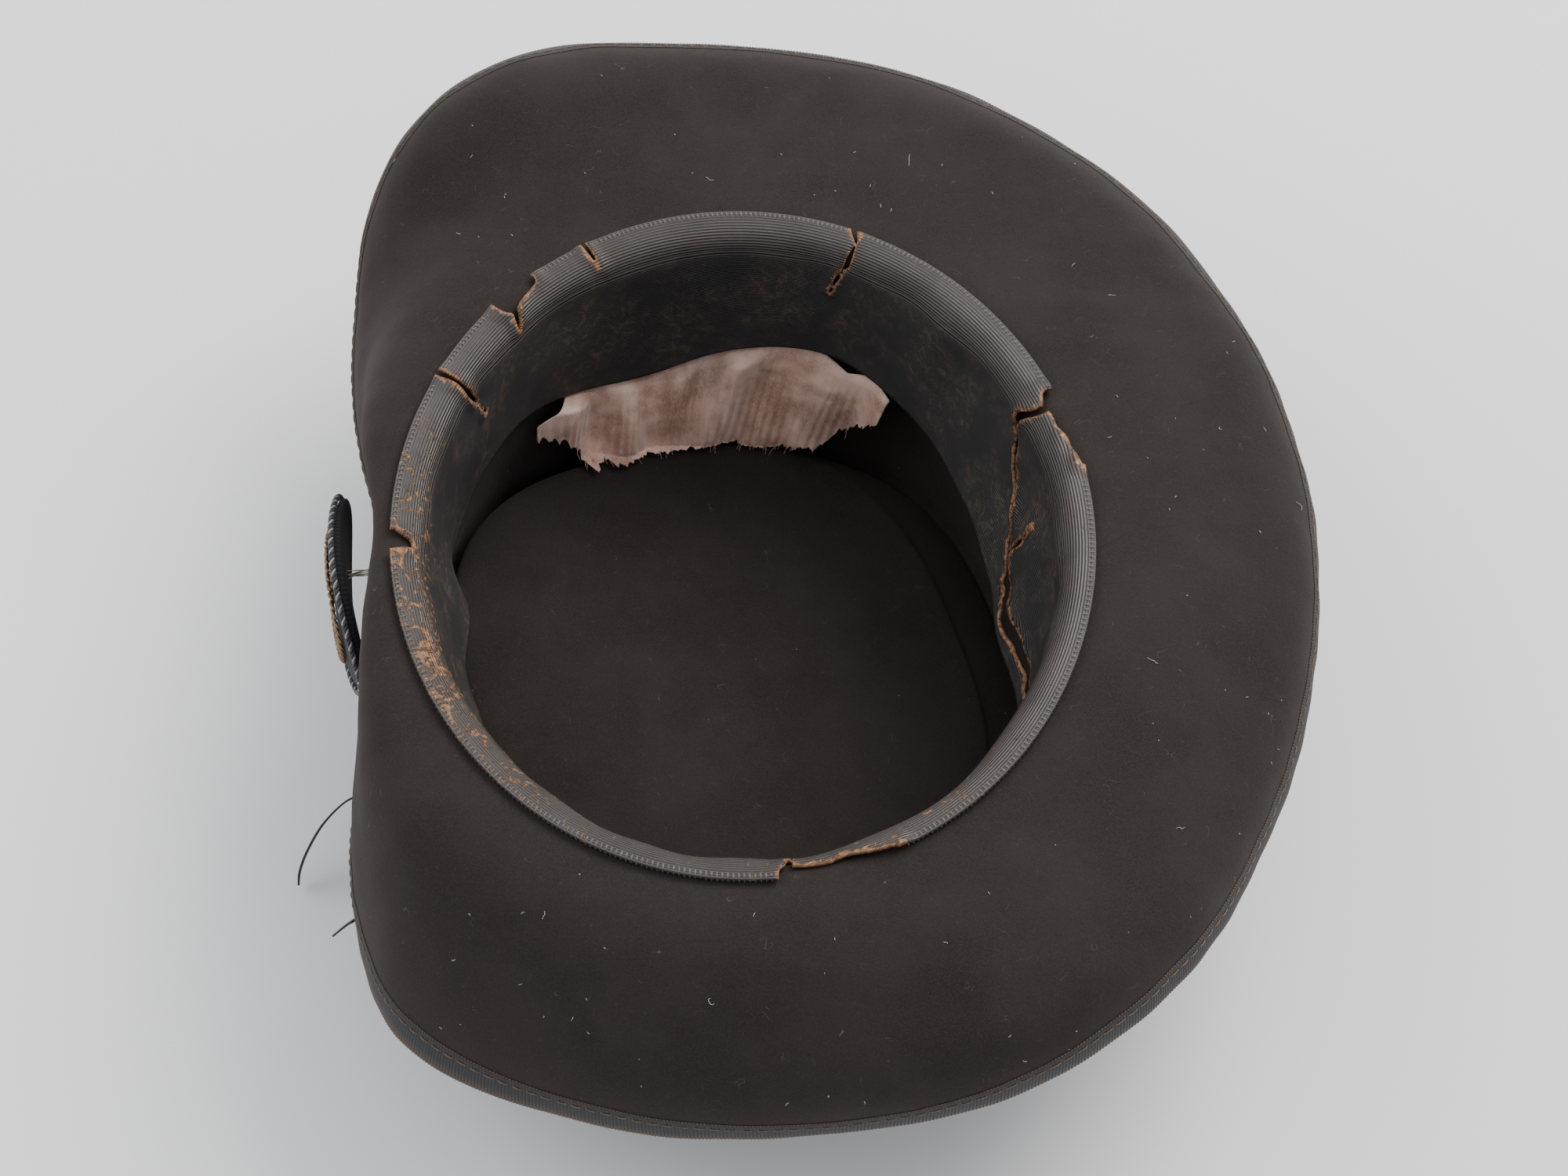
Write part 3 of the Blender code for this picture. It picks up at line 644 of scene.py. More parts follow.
def felt():
    theta = even_turns(FELT_COLUMNS)
    centre = dent_centre()

    def dent_plan(growth):
        return crown_plan(DENT, theta, growth)

    def foot_plan(growth):
        return crown_plan(FOOT, theta, growth)

    level = dent_level(dent_plan(-DENT_EDGE_ROLL))
    plateau = []
    for share in np.linspace(0.04, 1.0, 26):
        plan = centre + share * (dent_plan(-DENT_EDGE_ROLL) - centre)
        plateau.append(raised(plan, dent_level(plan)))
    slide = foot_plan(-0.0020) - dent_plan(-0.0006)
    side = smooth_rows([
        plateau[-1],
        raised(dent_plan(-0.0020), level - 0.0007),
        raised(dent_plan(-0.0006), level * 0.84),
        raised(dent_plan(-0.0006) + 0.5 * slide, level * 0.5 + 0.001),
        raised(foot_plan(-0.0032), 0.0036),
        raised(foot_plan(-0.0020), 0.0023),
        raised(foot_plan(-0.0008), 0.0026),
        raised(foot_plan(0.0), 0.0048),
    ], 26)[1:]
    top = CROWN_HEIGHT - BREAK_RADIUS
    wall = [wall_point(theta, height) for height in np.linspace(0.0075, top, 22)]
    bend = [break_point(theta, turn) for turn in np.radians([15, 30, 45, 60, 75])]
    over = [brim_point(theta, length) for length in np.linspace(0.0, BRIM_WIDTH - EDGE_RADIUS, 50)]
    round_edge = [
        brim_point(theta, BRIM_WIDTH - EDGE_RADIUS + EDGE_RADIUS * math.sin(turn),
                   EDGE_RADIUS * (math.cos(turn) - 1.0))
        for turn in np.radians([30, 60, 90])
    ]
    round_edge += [
        brim_point(theta, BRIM_WIDTH - EDGE_RADIUS + EDGE_RADIUS * math.cos(turn),
                   -FELT_THICKNESS + EDGE_RADIUS * (1.0 - math.sin(turn)))
        for turn in np.radians([0, 30, 60])
    ]
    under = [
        brim_point(theta, length, -FELT_THICKNESS)
        for length in np.linspace(BRIM_WIDTH - EDGE_RADIUS, 0.0, 36)
    ]
    bend_below = [break_point(theta, turn, -FELT_THICKNESS) for turn in np.radians([60, 30])]
    outside = [wall_point(theta, height, FELT_THICKNESS) for height in np.linspace(top, 0.0068, 16)]
    inner = crown_plan(DENT, theta, -FELT_THICKNESS - 0.2 * DENT_EDGE_ROLL)
    rest = foot_plan(FELT_THICKNESS - FOOT_ROUNDING - REST_WIDTH)
    depth = dent_level(inner) - FELT_THICKNESS
    below = smooth_rows([
        raised(foot_plan(FELT_THICKNESS), 0.0046),
        raised(foot_plan(FELT_THICKNESS - 0.0006), 0.0010),
        raised(foot_plan(FELT_THICKNESS - FOOT_ROUNDING), 0.0),
        raised(rest, 0.0),
        raised(inner + 0.80 * (rest - inner), depth * 0.15),
        raised(inner + 0.45 * (rest - inner), depth * 0.58),
        raised(inner, depth * 0.90),
        raised(dent_plan(-FELT_THICKNESS - DENT_EDGE_ROLL), depth * 0.98),
    ], 26)
    below[..., 2] = np.maximum(below[..., 2], 0.0)
    under_dent = []
    for share in np.linspace(0.9, 0.06, 10):
        plan = centre + share * (dent_plan(-FELT_THICKNESS - DENT_EDGE_ROLL) - centre)
        under_dent.append(raised(plan, dent_level(plan) - FELT_THICKNESS))
    rings = np.array(plateau + list(side) + wall + bend + over + round_edge + under
                     + bend_below + outside + list(below) + under_dent)
    first = (*centre, dent_level(centre))
    last = (*centre, dent_level(centre) - FELT_THICKNESS)
    mesh = grid_mesh("felt", rings, first_pole=first, last_pole=last)
    return finish_object("felt", mesh, felt_material(), "black_felt", "felt_body")


# Brim binding

RIBS = 1100
RIB_HEIGHT = 0.00016
BINDING_OVERHANG = 0.0015
BINDING_LIFT = 0.00055
STITCH_PITCH = 0.0038
STITCH_INSET = 0.0018
STITCH_LIFT = 0.00052
STITCH_RADIUS = 0.00013
PICOT_RADIUS = 0.00019


def edge_route(length, lift, count):
    """Angles evenly spread by distance round the hat at one arc length of the brim, and its girth."""
    fine = np.linspace(0.0, TAU, 4 * FINE_TURNS + 1)
    line = brim_point(fine, length, lift)
    steps = np.linalg.norm(np.diff(line, axis=0), axis=1)
    run = np.concatenate([[0.0], np.cumsum(steps)])
    return np.interp(np.arange(count) / count * run[-1], run, fine), run[-1]


def edge_length():
    return edge_route(BRIM_WIDTH, 0.0, 8)[1]


def binding(material):
    columns = RIBS * 4
    theta, _ = edge_route(BRIM_WIDTH, 0.0, columns)
    phase = np.arange(columns) % 4
    rib = np.where((phase == 1) | (phase == 2), 1.0, 0.0)
    top = BINDING_LIFT
    below = -FELT_THICKNESS - BINDING_LIFT
    middle, reach = (top + below) / 2, (top - below) / 2
    path = [(0.0, 0.00008, 0.0), (0.0003, 0.0003, 0.5), (0.0009, 0.00045, 1.0)]
    path += [(share * BINDING_REACH, top, 1.0) for share in (0.30, 0.55, 0.80, 0.95)]
    path += [
        (BINDING_REACH + BINDING_OVERHANG * math.sin(turn), middle + reach * math.cos(turn), 1.0)
        for turn in np.radians([25, 55, 90, 125, 155])
    ]
    path += [(share * BINDING_REACH, below, 1.0) for share in (0.95, 0.6, 0.3)]
    path += [(0.0006, below + 0.0002, 0.6), (0.0, -FELT_THICKNESS - 0.00008, 0.0)]
    rings, across = [], []
    run = 0.0
    previous = None
    for length, lift, strength in path:
        if previous is not None:
            run += math.hypot(length - previous[0], lift - previous[1])
        previous = (length, lift)
        side = 1.0 if lift > middle else -1.0
        rings.append(brim_point(theta, BRIM_WIDTH - BINDING_REACH + length,
                                lift + side * strength * RIB_HEIGHT * (rib - 0.5)))
        across.append(run / BINDING_REACH)
    uv = np.stack(np.meshgrid(np.arange(columns + 1) / 4.0, across), -1)
    mesh = grid_mesh("binding", np.array(rings), uv=uv)
    piece = finish_object("binding", mesh, material, "black_ribbon", "brim_binding")
    length = edge_length()
    return piece


def binding_stitches():
    """Running stitches on the binding's top side."""
    count = int(edge_length() / STITCH_PITCH)
    theta, _ = edge_route(BRIM_WIDTH, 0.0, count)
    turn = TAU / count
    paths = []
    for angle in theta:
        spread = angle + turn * 0.84 * np.linspace(-0.5, 0.5, 5)
        dip = np.array([-0.0001, 0.00016, 0.0002, 0.00016, -0.0001])
        paths.append(brim_point(spread, BRIM_WIDTH - BINDING_REACH + STITCH_INSET, STITCH_LIFT + dip))
    look = plain_material("stitch_look", (0.20, 0.13, 0.075), 0.8)
    return strands("binding_stitches", paths, STITCH_RADIUS, 5, 0.0, look, "grey_thread")


def binding_picots():
    """Little loops along the ribbon's selvedge."""
    theta, _ = edge_route(BRIM_WIDTH, 0.0, RIBS)
    half = TAU / RIBS * 0.30
    paths = [
        brim_point(np.array([angle - half, angle, angle + half]), BRIM_WIDTH - BINDING_REACH,
                   np.array([0.0001, 0.00026, 0.0001]))
        for angle in theta
    ]
    look = plain_material("picot_look", (0.13, 0.10, 0.075), 0.8)
    return strands("binding_picots", paths, PICOT_RADIUS, 5, 0.5, look, "grey_thread")


# Sweatband

BAND_RADIUS = 0.0895
BAND_ARC = 0.0106
BAND_TURN = math.radians(96.0)
BAND_RUN = 0.0546
BAND_LIFT = 0.0004
BAND_COLUMNS = 720
BEAD_PITCH = 0.0013
BEAD_RADIUS = 0.00036

# The leather round the damage curls up, and the strip under the split on the right hangs inward
CURL_HEIGHT = 0.0006
CURL_REACH = 0.0022
RAW_REACH = 0.0011
WORN_RUN = 0.012
STRIP_HANG = 0.0022
STRIP_ANGLE = -8.0
STRIP_SPREAD = 13.0
STRIP_RUN = 0.046
LARGEST_PULL = 0.00045

# Cracks, tears and holes: angle in degrees; run from the outer edge and half width in millimetres
DamageRow = namedtuple("DamageRow", "angle run half")
DAMAGE = [
    # far hole
    table(DamageRow, (124.4, 0.6, 1.6), (127.5, 0.8, 2.4), (130.2, 1.4, 3.0)),
    # far hole crack
    table(DamageRow, (130.2, 4.0, 0.9), (131.5, 8.0, 0.3)),
    # far crack
    table(
        DamageRow,
        (65.5, 0.0, 0.7), (64.0, 2.9, 0.5), (64.5, 8.8, 0.6), (66.5, 16.2, 0.5), (67.5, 22.3, 0.2),
    ),
    # small crack
    table(DamageRow, (113.0, 0.0, 0.5), (112.4, 6.2, 0.2)),
    # left crack
    table(DamageRow, (147.5, 0.0, 0.8), (147.0, 7.7, 0.6), (145.5, 15.6, 0.5), (143.5, 25.6, 0.2)),
    # left hole
    table(DamageRow, (178.3, 0.5, 2.6), (178.5, 3.8, 1.6)),
    # near step
    table(DamageRow, (271.5, 0.0, 0.9), (272.5, 6.0, 0.5), (274.0, 10.6, 0.2)),
    # near edge
    table(DamageRow, (272.0, 0.0, 2.9), (281.0, 0.0, 2.6), (290.0, 0.0, 0.2)),
    # right edge
    table(DamageRow, (5.0, 0.0, 0.2), (12.0, 0.0, 1.9), (18.0, 0.0, 3.3)),
    # right tear
    table(
        DamageRow,
        (20.0, 1.2, 1.2), (17.5, 3.3, 0.9), (18.5, 6.6, 0.8), (20.5, 10.2, 0.8), (21.0, 16.7, 0.7),
        (19.0, 22.9, 0.8), (16.0, 28.4, 0.6), (13.0, 32.3, 0.6), (11.0, 37.3, 0.7), (9.5, 42.4, 0.8),
        (6.5, 43.5, 0.7), (4.5, 47.6, 0.8),
    ),
    # right branch
    table(DamageRow, (7.5, 42.5, 0.5), (6.5, 33.4, 0.4), (5.5, 25.6, 0.2)),
    # right split
    table(
        DamageRow,
        (4.5, 47.6, 0.8), (357.0, 48.4, 1.1), (352.0, 47.6, 1.7), (345.0, 45.6, 1.9),
        (337.0, 45.6, 1.7), (330.0, 48.6, 1.3), (322.0, 53.0, 0.9), (318.0, 55.5, 0.8),
    ),
]

# How raw the leather is along its rolled edge, by angle
WearRow = namedtuple("WearRow", "angle wear")
WEAR_ZONES = table(
    WearRow,
    (0, 0.16), (40, 0.10), (120, 0.16), (150, 0.26), (165, 0.40), (185, 0.42), (200, 0.52),
    (216, 0.44), (235, 0.30), (300, 0.34), (330, 0.22), (360, 0.16),
)


def sweatband_edge(theta):
    degrees = np.degrees(theta)
    hang = around(SWEATBAND_SECTIONS, "hang", degrees) * SWEATBAND_DEPTH
    stand_off = around(SWEATBAND_SECTIONS, "stand_off", degrees) * SWEATBAND_DEPTH
    return CROWN_HEIGHT - hang, stand_off


def sweatband_wall(theta, share, lift=0.0):
    edge_height, stand_off = sweatband_edge(theta)
    top = CROWN_HEIGHT - BREAK_RADIUS
    height = top + share * (edge_height - top)
    return wall_point(theta, height, -FIT_GAP - lift - stand_off * share**1.5)


def band_point(theta, run, inward=0.0):
    """Point of the band's felt side at a run from its outer edge, moved towards the head by inward."""
    theta, run, inward = np.broadcast_arrays(np.asarray(theta, float), run, inward)
    turn = BAND_TURN - np.minimum(run, BAND_ARC) / BAND_ARC * BAND_TURN
    over = break_point(theta, turn, BAND_LIFT + inward)
    share = np.maximum(run - BAND_ARC, 0.0) / (BAND_RUN - BAND_ARC)
    down = sweatband_wall(theta, share, BAND_LIFT + inward)
    return np.where((run < BAND_ARC)[..., None], over, down)


def damage(theta, run):
    """Distance over the leather to the nearest crack, tear or hole; it is negative inside one."""
    best = np.ones(np.shape(theta))
    for rows in DAMAGE:
        for first, second in zip(rows[:-1], rows[1:]):
            turn = (theta - math.radians(first.angle) + math.pi) % TAU - math.pi
            across = (math.radians(second.angle - first.angle) + math.pi) % TAU - math.pi
            step = np.array([across * BAND_RADIUS, (second.run - first.run) / 1000.0])
            point = np.stack([turn * BAND_RADIUS, run - first.run / 1000.0], -1)
            share = np.clip(point @ step / (step @ step), 0.0, 1.0)
            half = (first.half + share * (second.half - first.half)) / 1000.0
            best = np.minimum(best, np.linalg.norm(point - share[..., None] * step, axis=-1) - half)
    spot = np.stack([np.cos(theta) * BAND_RADIUS, np.sin(theta) * BAND_RADIUS, run], -1)
    return best + 0.00022 * ripple(spot, 0.007, 21)


def sweatband():
    """The band as one sheet of leather: faces inside the damage are left out, and the vertices along
    its edge are drawn onto it."""
    turns = even_turns(BAND_COLUMNS)
    runs = np.concatenate([np.linspace(0.0, BAND_ARC, 15)[:-1], np.linspace(BAND_ARC, BAND_RUN, 50)])
    theta, run = (grid.copy() for grid in np.meshgrid(turns, runs))
    gap = damage(theta, run)
    middle = damage(theta + math.pi / BAND_COLUMNS, run)
    keep = middle[:-1] + middle[1:] > 0.0
    touched = np.zeros((2,) + theta.shape, bool)
    for side, faces in enumerate((keep, ~keep)):
        for row in (slice(None, -1), slice(1, None)):
            touched[side][row] |= faces | np.roll(faces, 1, axis=1)
    border = touched[0] & touched[1]
    nudge = 0.0001
    turned = nudge / BAND_RADIUS
    slope_u = (damage(theta + turned, run) - damage(theta - turned, run)) / (2 * nudge)
    slope_v = (damage(theta, run + nudge) - damage(theta, run - nudge)) / (2 * nudge)
    size = np.maximum(slope_u**2 + slope_v**2, 0.2)
    pull = np.where(border, np.clip(gap, -LARGEST_PULL, LARGEST_PULL), 0.0) / size
    theta -= pull * slope_u / BAND_RADIUS
    run = np.clip(run - pull * slope_v, 0.0, BAND_RUN)

    spot = band_point(theta, run)
    near = np.exp(-(np.maximum(gap, 0.0) / CURL_REACH) ** 2)
    degrees = np.degrees(theta) % 360.0
    strip = np.exp(-(((degrees - STRIP_ANGLE + 180.0) % 360.0 - 180.0) / STRIP_SPREAD) ** 2)
    inward = near * CURL_HEIGHT * (1.0 + ripple(spot, 0.012, 22))
    inward += 0.00045 * ripple(spot, 0.030, 23) * clip_ease(run / 0.012) + 0.0004
    inward += STRIP_HANG * strip * clip_ease((run - STRIP_RUN) / 0.004)
    rings = band_point(theta, run, inward)
    zone = between(WEAR_ZONES, "wear", degrees)
    zone *= 1.0 - clip_ease((run - WORN_RUN) / 0.016)
    wear = np.maximum(np.exp(-np.maximum(gap, 0.0) / RAW_REACH), zone)
    uv_turns = np.arange(BAND_COLUMNS + 1) * TAU / BAND_COLUMNS * BAND_RADIUS * 10.0
    uv = np.stack(np.meshgrid(uv_turns, runs * 10.0), -1)
    mesh = grid_mesh("sweatband", rings, uv=uv, keep=keep)
    give_attribute(mesh, "wear", wear)
    # roll is 1 on the rolled edge and fades down the band; the material makes that part smoother and
    # paints a sheen on it.
    give_attribute(mesh, "roll", 1.0 - clip_ease((run - 0.004) / 0.012))
    clean_loose(mesh)
    piece = finish_object("sweatband_leather", mesh, leather_material(), "dark_leather", "sweatband")
    return thicken(piece, LEATHER_THICKNESS, 1)


def clean_loose(mesh):
    """Take out the vertices that no face uses."""
    build = bmesh.new()
    build.from_mesh(mesh)
    bmesh.ops.delete(build, geom=[vert for vert in build.verts if not vert.link_faces], context="VERTS")
    build.to_mesh(mesh)
    build.free()


def sweatband_stitches():
    """Stitches that wrap the band's outer edge."""
    count = int(TAU * BAND_RADIUS / BEAD_PITCH)
    paths = []
    for step in range(count):
        angle = TAU * step / count
        if damage(np.array(angle), np.array(0.0006)) < 0.0007:
            continue
        runs = np.array([0.0017, 0.0010, 0.0003, 0.0])
        lifts = np.array([0.00105, 0.00145, 0.00115, 0.0002])
        paths.append(band_point(angle + 0.0016 * np.linspace(-1.0, 1.0, 4), runs, lifts))
    look = plain_material("bead_look", (0.135, 0.115, 0.100), 0.6)
    return strands("sweatband_stitches", paths, BEAD_RADIUS, 6, 0.35, look, "grey_thread")


# Lining scrap


def lining_point(theta, share):
    edge_height, _ = sweatband_edge(theta)
    top_height = edge_height - 2 * FIT_GAP
    top = wall_point(theta, top_height, -FIT_GAP)
    rim = crown_plan(DENT, theta, 0.0)
    rim = raised(rim, dent_level(rim) + LINING_LIFT)
    return top + share[..., None] * (rim - top)


LiningRow = namedtuple("LiningRow", "angle top bottom")
LINING_SECTIONS = table(
    LiningRow,
    (52, 0.10, 0.34), (58, 0.06, 0.60), (62, 0.10, 0.84), (66, 0.06, 0.90), (72, 0.00, 1.06),
    (84, -0.02, 1.02), (92, -0.03, 1.08), (99, -0.02, 1.16), (106, -0.02, 1.14), (112, -0.04, 1.24),
    (115, -0.04, 1.14), (118, -0.05, 1.32), (120, -0.04, 0.80), (124, 0.08, 0.60), (130, 0.26, 0.42),
)
LINING_COLUMNS = 240
LINING_ROWS = 70
LINING_RADIUS = 0.09
LINING_DROP = 0.012
PLEAT_PITCH = 0.0034
FRAY_COUNT = 46
FRAY_RADIUS = 0.00009


def lining():
    """Torn scrap of silk: it hangs in folds from under the band and lies on the dent's rim."""
    angles = np.linspace(LINING_SECTIONS[0].angle, LINING_SECTIONS[-1].angle, LINING_COLUMNS)
    top = between(LINING_SECTIONS, "top", angles)
    bottom = between(LINING_SECTIONS, "bottom", angles)
    ragged = np.stack([angles, np.zeros(LINING_COLUMNS)], -1)
    bottom += 0.035 * ripple(ragged, 2.4, 31) + 0.018 * ripple(ragged, 0.7, 32)
    down = np.linspace(0.0, 1.0, LINING_ROWS)[:, None]
    share = top + down * (bottom - top)
    theta = np.broadcast_to(np.radians(angles), share.shape)
    points = lining_point(theta, np.minimum(share, 1.0))
    rim_height = dent_level(crown_plan(DENT, theta, 0.0)) + LINING_LIFT
    _, outward = head_plan(theta)
    sideways = np.stack([theta * LINING_RADIUS, share * LINING_DROP], -1)
    pleat = np.sin(theta * LINING_RADIUS / PLEAT_PITCH * TAU + 2.2 * ripple(sideways, 0.02, 33))
    fold = 0.0010 + 0.0004 * pleat * clip_ease(share) + 0.0022 * (1.0 + ripple(sideways, 0.024, 34))
    fold = fold * clip_ease(share / 0.2 + 0.2) * (1.0 - 0.35 * clip_ease((share - 0.9) / 0.3))
    points[..., :2] -= fold[..., None] * outward
    beyond = np.maximum(share - 1.0, 0.0) * 0.020
    points[..., :2] -= beyond[..., None] * outward
    height = np.where(share > 1.0, rim_height + 0.0006, points[..., 2])
    points[..., 2] = height + 0.3 * fold
    mesh = grid_mesh("lining", points, closed=False)
    piece = finish_object("lining_silk", mesh, silk_material(), "pink_silk", "lining_remnant")
    thicken(piece, SILK_THICKNESS, 0)
    return piece


def lining_threads():
    """Frayed threads along the scrap's torn lower edge."""
    draw = np.random.default_rng(41)
    paths = []
    for _ in range(FRAY_COUNT):
        angle = math.radians(draw.uniform(56.0, 122.0))
        bottom = between(LINING_SECTIONS, "bottom", math.degrees(angle))
        start = lining_point(np.array(angle), np.array(min(bottom, 1.0) - 0.05))
        _, outward = head_plan(angle)
        start[:2] -= 0.0030 * outward
        step = np.array([*(-outward * draw.uniform(0.0004, 0.0012)), draw.uniform(-0.0003, 0.0003)])
        side = np.array([outward[1], -outward[0], 0.0]) * draw.normal(0.0, 0.0008)
        paths.append(smooth_rows([start, start + 2 * step + side, start + 4 * step + 1.4 * side], 7))
    look = plain_material("fray_look", (0.50, 0.34, 0.27), 0.6)
    return strands("lining_threads", paths, FRAY_RADIUS, 4, 0.5, look, "grey_thread")


# Hatband and ribbon tails


def hatband(material):
    columns = 1200
    theta = even_turns(columns)
    top = CROWN_HEIGHT - BREAK_RADIUS
    growth = FELT_THICKNESS + FIT_GAP
    heights = np.linspace(top, top - HATBAND_WIDTH, 14)
    rib = np.where(np.arange(columns) % 2 == 0, 0.5, -0.5) * 0.00012
    rings = [wall_point(theta, height, growth + rib) for height in heights]
    uv = np.stack(np.meshgrid(np.arange(columns + 1) / 2.0, np.full(14, 0.4)), -1)
    mesh = grid_mesh("hatband", np.array(rings), uv=uv)
    piece = finish_object("hatband_ribbon", mesh, material, "black_ribbon", "hatband")
    thicken(piece, RIBBON_THICKNESS, -1)
    return piece


TailRow = namedtuple("TailRow", "out along up width")
LONG_TAIL = table(
    TailRow,
    (0.16, 0.00, -0.02, 1.00), (0.34, 0.01, -0.08, 1.00), (0.56, -0.06, -0.24, 0.95),
    (0.73, -0.16, -0.46, 0.85), (0.82, -0.24, -0.64, 0.60), (0.85, -0.30, -0.78, 0.15),
)
SHORT_TAIL = table(
    TailRow,
    (0.30, 0.00, -0.03, 1.00), (0.65, 0.02, -0.16, 0.70), (1.00, 0.05, -0.36, 0.20),
)


def tail(name, node, angle, rows, reach, material):
    theta = math.radians(angle)
    start_height = CROWN_HEIGHT - BREAK_RADIUS - HATBAND_WIDTH / 2
    edge = brim_point(theta, BRIM_WIDTH, -FELT_THICKNESS / 2)
    under = edge - np.array([0.0, 0.0, 0.001 + FIT_GAP + 0.75 * TAIL_WIDTH])
    _, outward = head_plan(theta)
    stops = []
    for share in (0.0, 0.5, 0.85):
        height = start_height + share * (under[2] - start_height)
        growth = FELT_THICKNESS + 0.0027 + share * 0.5 * TAIL_WIDTH
        stops.append((*wall_point(theta, height, growth), 1.0, 0.0))
    stops.append((*under, 1.0, 1.0))
    for row in rows:
        step = np.array([row.out * outward[0], row.out * outward[1] + row.along, row.up]) * reach
        stops.append((*(under + step), row.width, 1.0))
    fine = smooth_rows(stops, TAIL_ROWS)
    fine, width, twist = fine[:, :3], fine[:, 3], np.clip(fine[:, 4], 0.0, 1.0)
    flat = np.array([outward[1], -outward[0], 0.0])
    on_edge = np.array([0.0, 0.55, -0.83])
    across = flat + twist[:, None] * (on_edge - flat)
    across /= np.linalg.norm(across, axis=1, keepdims=True)
    columns = np.linspace(-0.5, 0.5, 7)
    spread = columns[None, :, None] * width[:, None, None] * TAIL_WIDTH
    grid = fine[:, None] + across[:, None] * spread
    uv = np.stack(np.meshgrid(np.full(7, 0.5), np.arange(TAIL_ROWS) * 0.5), -1)[..., ::-1]
    mesh = grid_mesh(name, grid, closed=False, uv=uv)
    piece = finish_object(name, mesh, material, "black_ribbon", node)
    return thicken(piece, TAIL_THICKNESS, 0)


# Badge


def badge_turn():
    """Rotation of the badge in the hat's frame: its own -X is its face, +Z its top edge."""
    return np.array(Euler((0.0, math.radians(BADGE_LEAN), math.radians(BADGE_SPLAY))).to_matrix())


def badge_middle():
    """Middle of the badge in the hat's frame: its near end sits at the brim."""
    touch = badge_turn() @ np.array([BADGE_CORD / 2, -BADGE_LENGTH / 2, 0.0])
    return brim_point(math.radians(BADGE_ANGLE), BADGE_DOWN * BRIM_WIDTH, FIT_GAP) - touch


def badge_place(points):
    """Points of the badge's own frame in the hat's frame."""
    return np.asarray(points, float) @ badge_turn().T + badge_middle()


def badge_bow(y):
    return BADGE_BOW * (1.0 - (2.0 * y / BADGE_LENGTH) ** 2)


def badge_axes():
    rim = BADGE_CORD + FIT_GAP
    return BADGE_LENGTH / 2 - rim, BADGE_HEIGHT / 2 - rim


BADGE_COLUMNS = 480
CORD_STRAND = 0.00042
LIGHT_STRAND = 0.00032
CORD_TWIST = 0.0034
LEAVES = 44
LEAF_RADIUS = 0.0005
TIE_COUNT = 7
TIE_RADIUS = 0.00016


def badge_pad():
    half_length, half_height = badge_axes()
    turns = even_turns(BADGE_COLUMNS)
    rib = np.where(np.arange(BADGE_COLUMNS) % 4 < 2, 0.00012, -0.00012)
    rings = []
    for latitude in np.radians(np.linspace(-86, 86, 40)):
        flat = math.copysign(abs(math.sin(latitude)) ** 0.8, math.sin(latitude))
        spread = math.cos(latitude) ** 0.4
        y = (half_length * spread + rib * spread) * np.cos(turns)
        z = (half_height * spread + rib * spread) * np.sin(turns)
        rings.append(np.stack([flat * BADGE_THICKNESS / 2 - badge_bow(y), y, z], -1))
    ends = [(-BADGE_THICKNESS / 2 - BADGE_BOW, 0.0, 0.0), (BADGE_THICKNESS / 2 - BADGE_BOW, 0.0, 0.0)]
    mesh = grid_mesh("badge_velvet", badge_place(np.array(rings)), first_pole=badge_place(ends[0]),
                     last_pole=badge_place(ends[1]))
    velvet = plain_material("velvet_look", (0.010, 0.010, 0.012), 0.95, 2200.0, Sheen_Weight=0.06)
    piece = finish_object("badge_velvet", mesh, velvet, "black_velvet", "badge_pad")
    return piece


def oval_line(outset, stand, count):
    half_length, half_height = badge_axes()
    angle = np.linspace(0.0, 1.0, count) * TAU
    y = (half_length + outset) * np.cos(angle)
    z = (half_height + outset) * np.sin(angle)
    return np.stack([-stand - badge_bow(y), y, z], -1)


def twisted(line, core, twist_length, strands):
    """Strands wound round a closed line."""
    steps = np.linalg.norm(np.diff(line, axis=0), axis=1)
    run = np.concatenate([[0.0], np.cumsum(steps)])
    along = np.gradient(line, axis=0)
    along /= np.linalg.norm(along, axis=1, keepdims=True)
    aside = np.array([1.0, 0.0, 0.0])
    across = np.cross(along, aside)
    across /= np.linalg.norm(across, axis=1, keepdims=True)
    other = np.cross(along, across)
    turns = round(run[-1] / twist_length)
    paths = []
    for strand in range(strands):
        angle = TAU * (turns * run / run[-1] + strand / strands)
        paths.append(line + core * (np.cos(angle)[:, None] * across + np.sin(angle)[:, None] * other))
    return paths


def badge_cord():
    """Thin cord of two dark strands and a light one round the front rim."""
    line = oval_line(BADGE_CORD / 2, 0.32 * BADGE_THICKNESS, 900)
    paths = [badge_place(path) for path in twisted(line, CORD_STRAND, CORD_TWIST, 3)]
    piping = plain_material("piping_look", (0.022, 0.023, 0.028), 0.6, 2500.0, Sheen_Weight=0.2)
    light = plain_material("light_strand_look", (0.42, 0.40, 0.37), 0.6, 2500.0)
    strands("badge_piping_light", paths[2:], LIGHT_STRAND, 6, 0.0, light, "grey_thread")
    return strands("badge_piping", paths[:2], CORD_STRAND, 6, 0.0, piping, "black_piping",
                   "badge_edge_cord")


def badge_wirework():
    """Generic wreath of raised wirework leaves on the badge's face."""
    half_length, half_height = badge_axes()
    paths = []
    stand = BADGE_THICKNESS / 2 + 0.0004
    for step in range(LEAVES):
        angle = TAU * step / LEAVES
        for side in (-1, 1):
            ts = np.linspace(0.0, 1.0, 7)
            reach = 0.60 + side * 0.11 * ts
            turn = angle + 0.16 * ts
            y = reach * half_length * np.cos(turn)
            z = reach * half_height * np.sin(turn)
            x = -stand - badge_bow(y) - 0.0006 * np.sin(math.pi * ts)
            paths.append(badge_place(np.stack([x, y, z], -1)))
    wire = plain_material("wire_look", (0.24, 0.15, 0.08), 0.42, 3000.0, Metallic=0.6)
    return strands("badge_wirework", paths, LEAF_RADIUS, 6, 0.6, wire, "tarnished_wire",
                   "badge_embroidery")


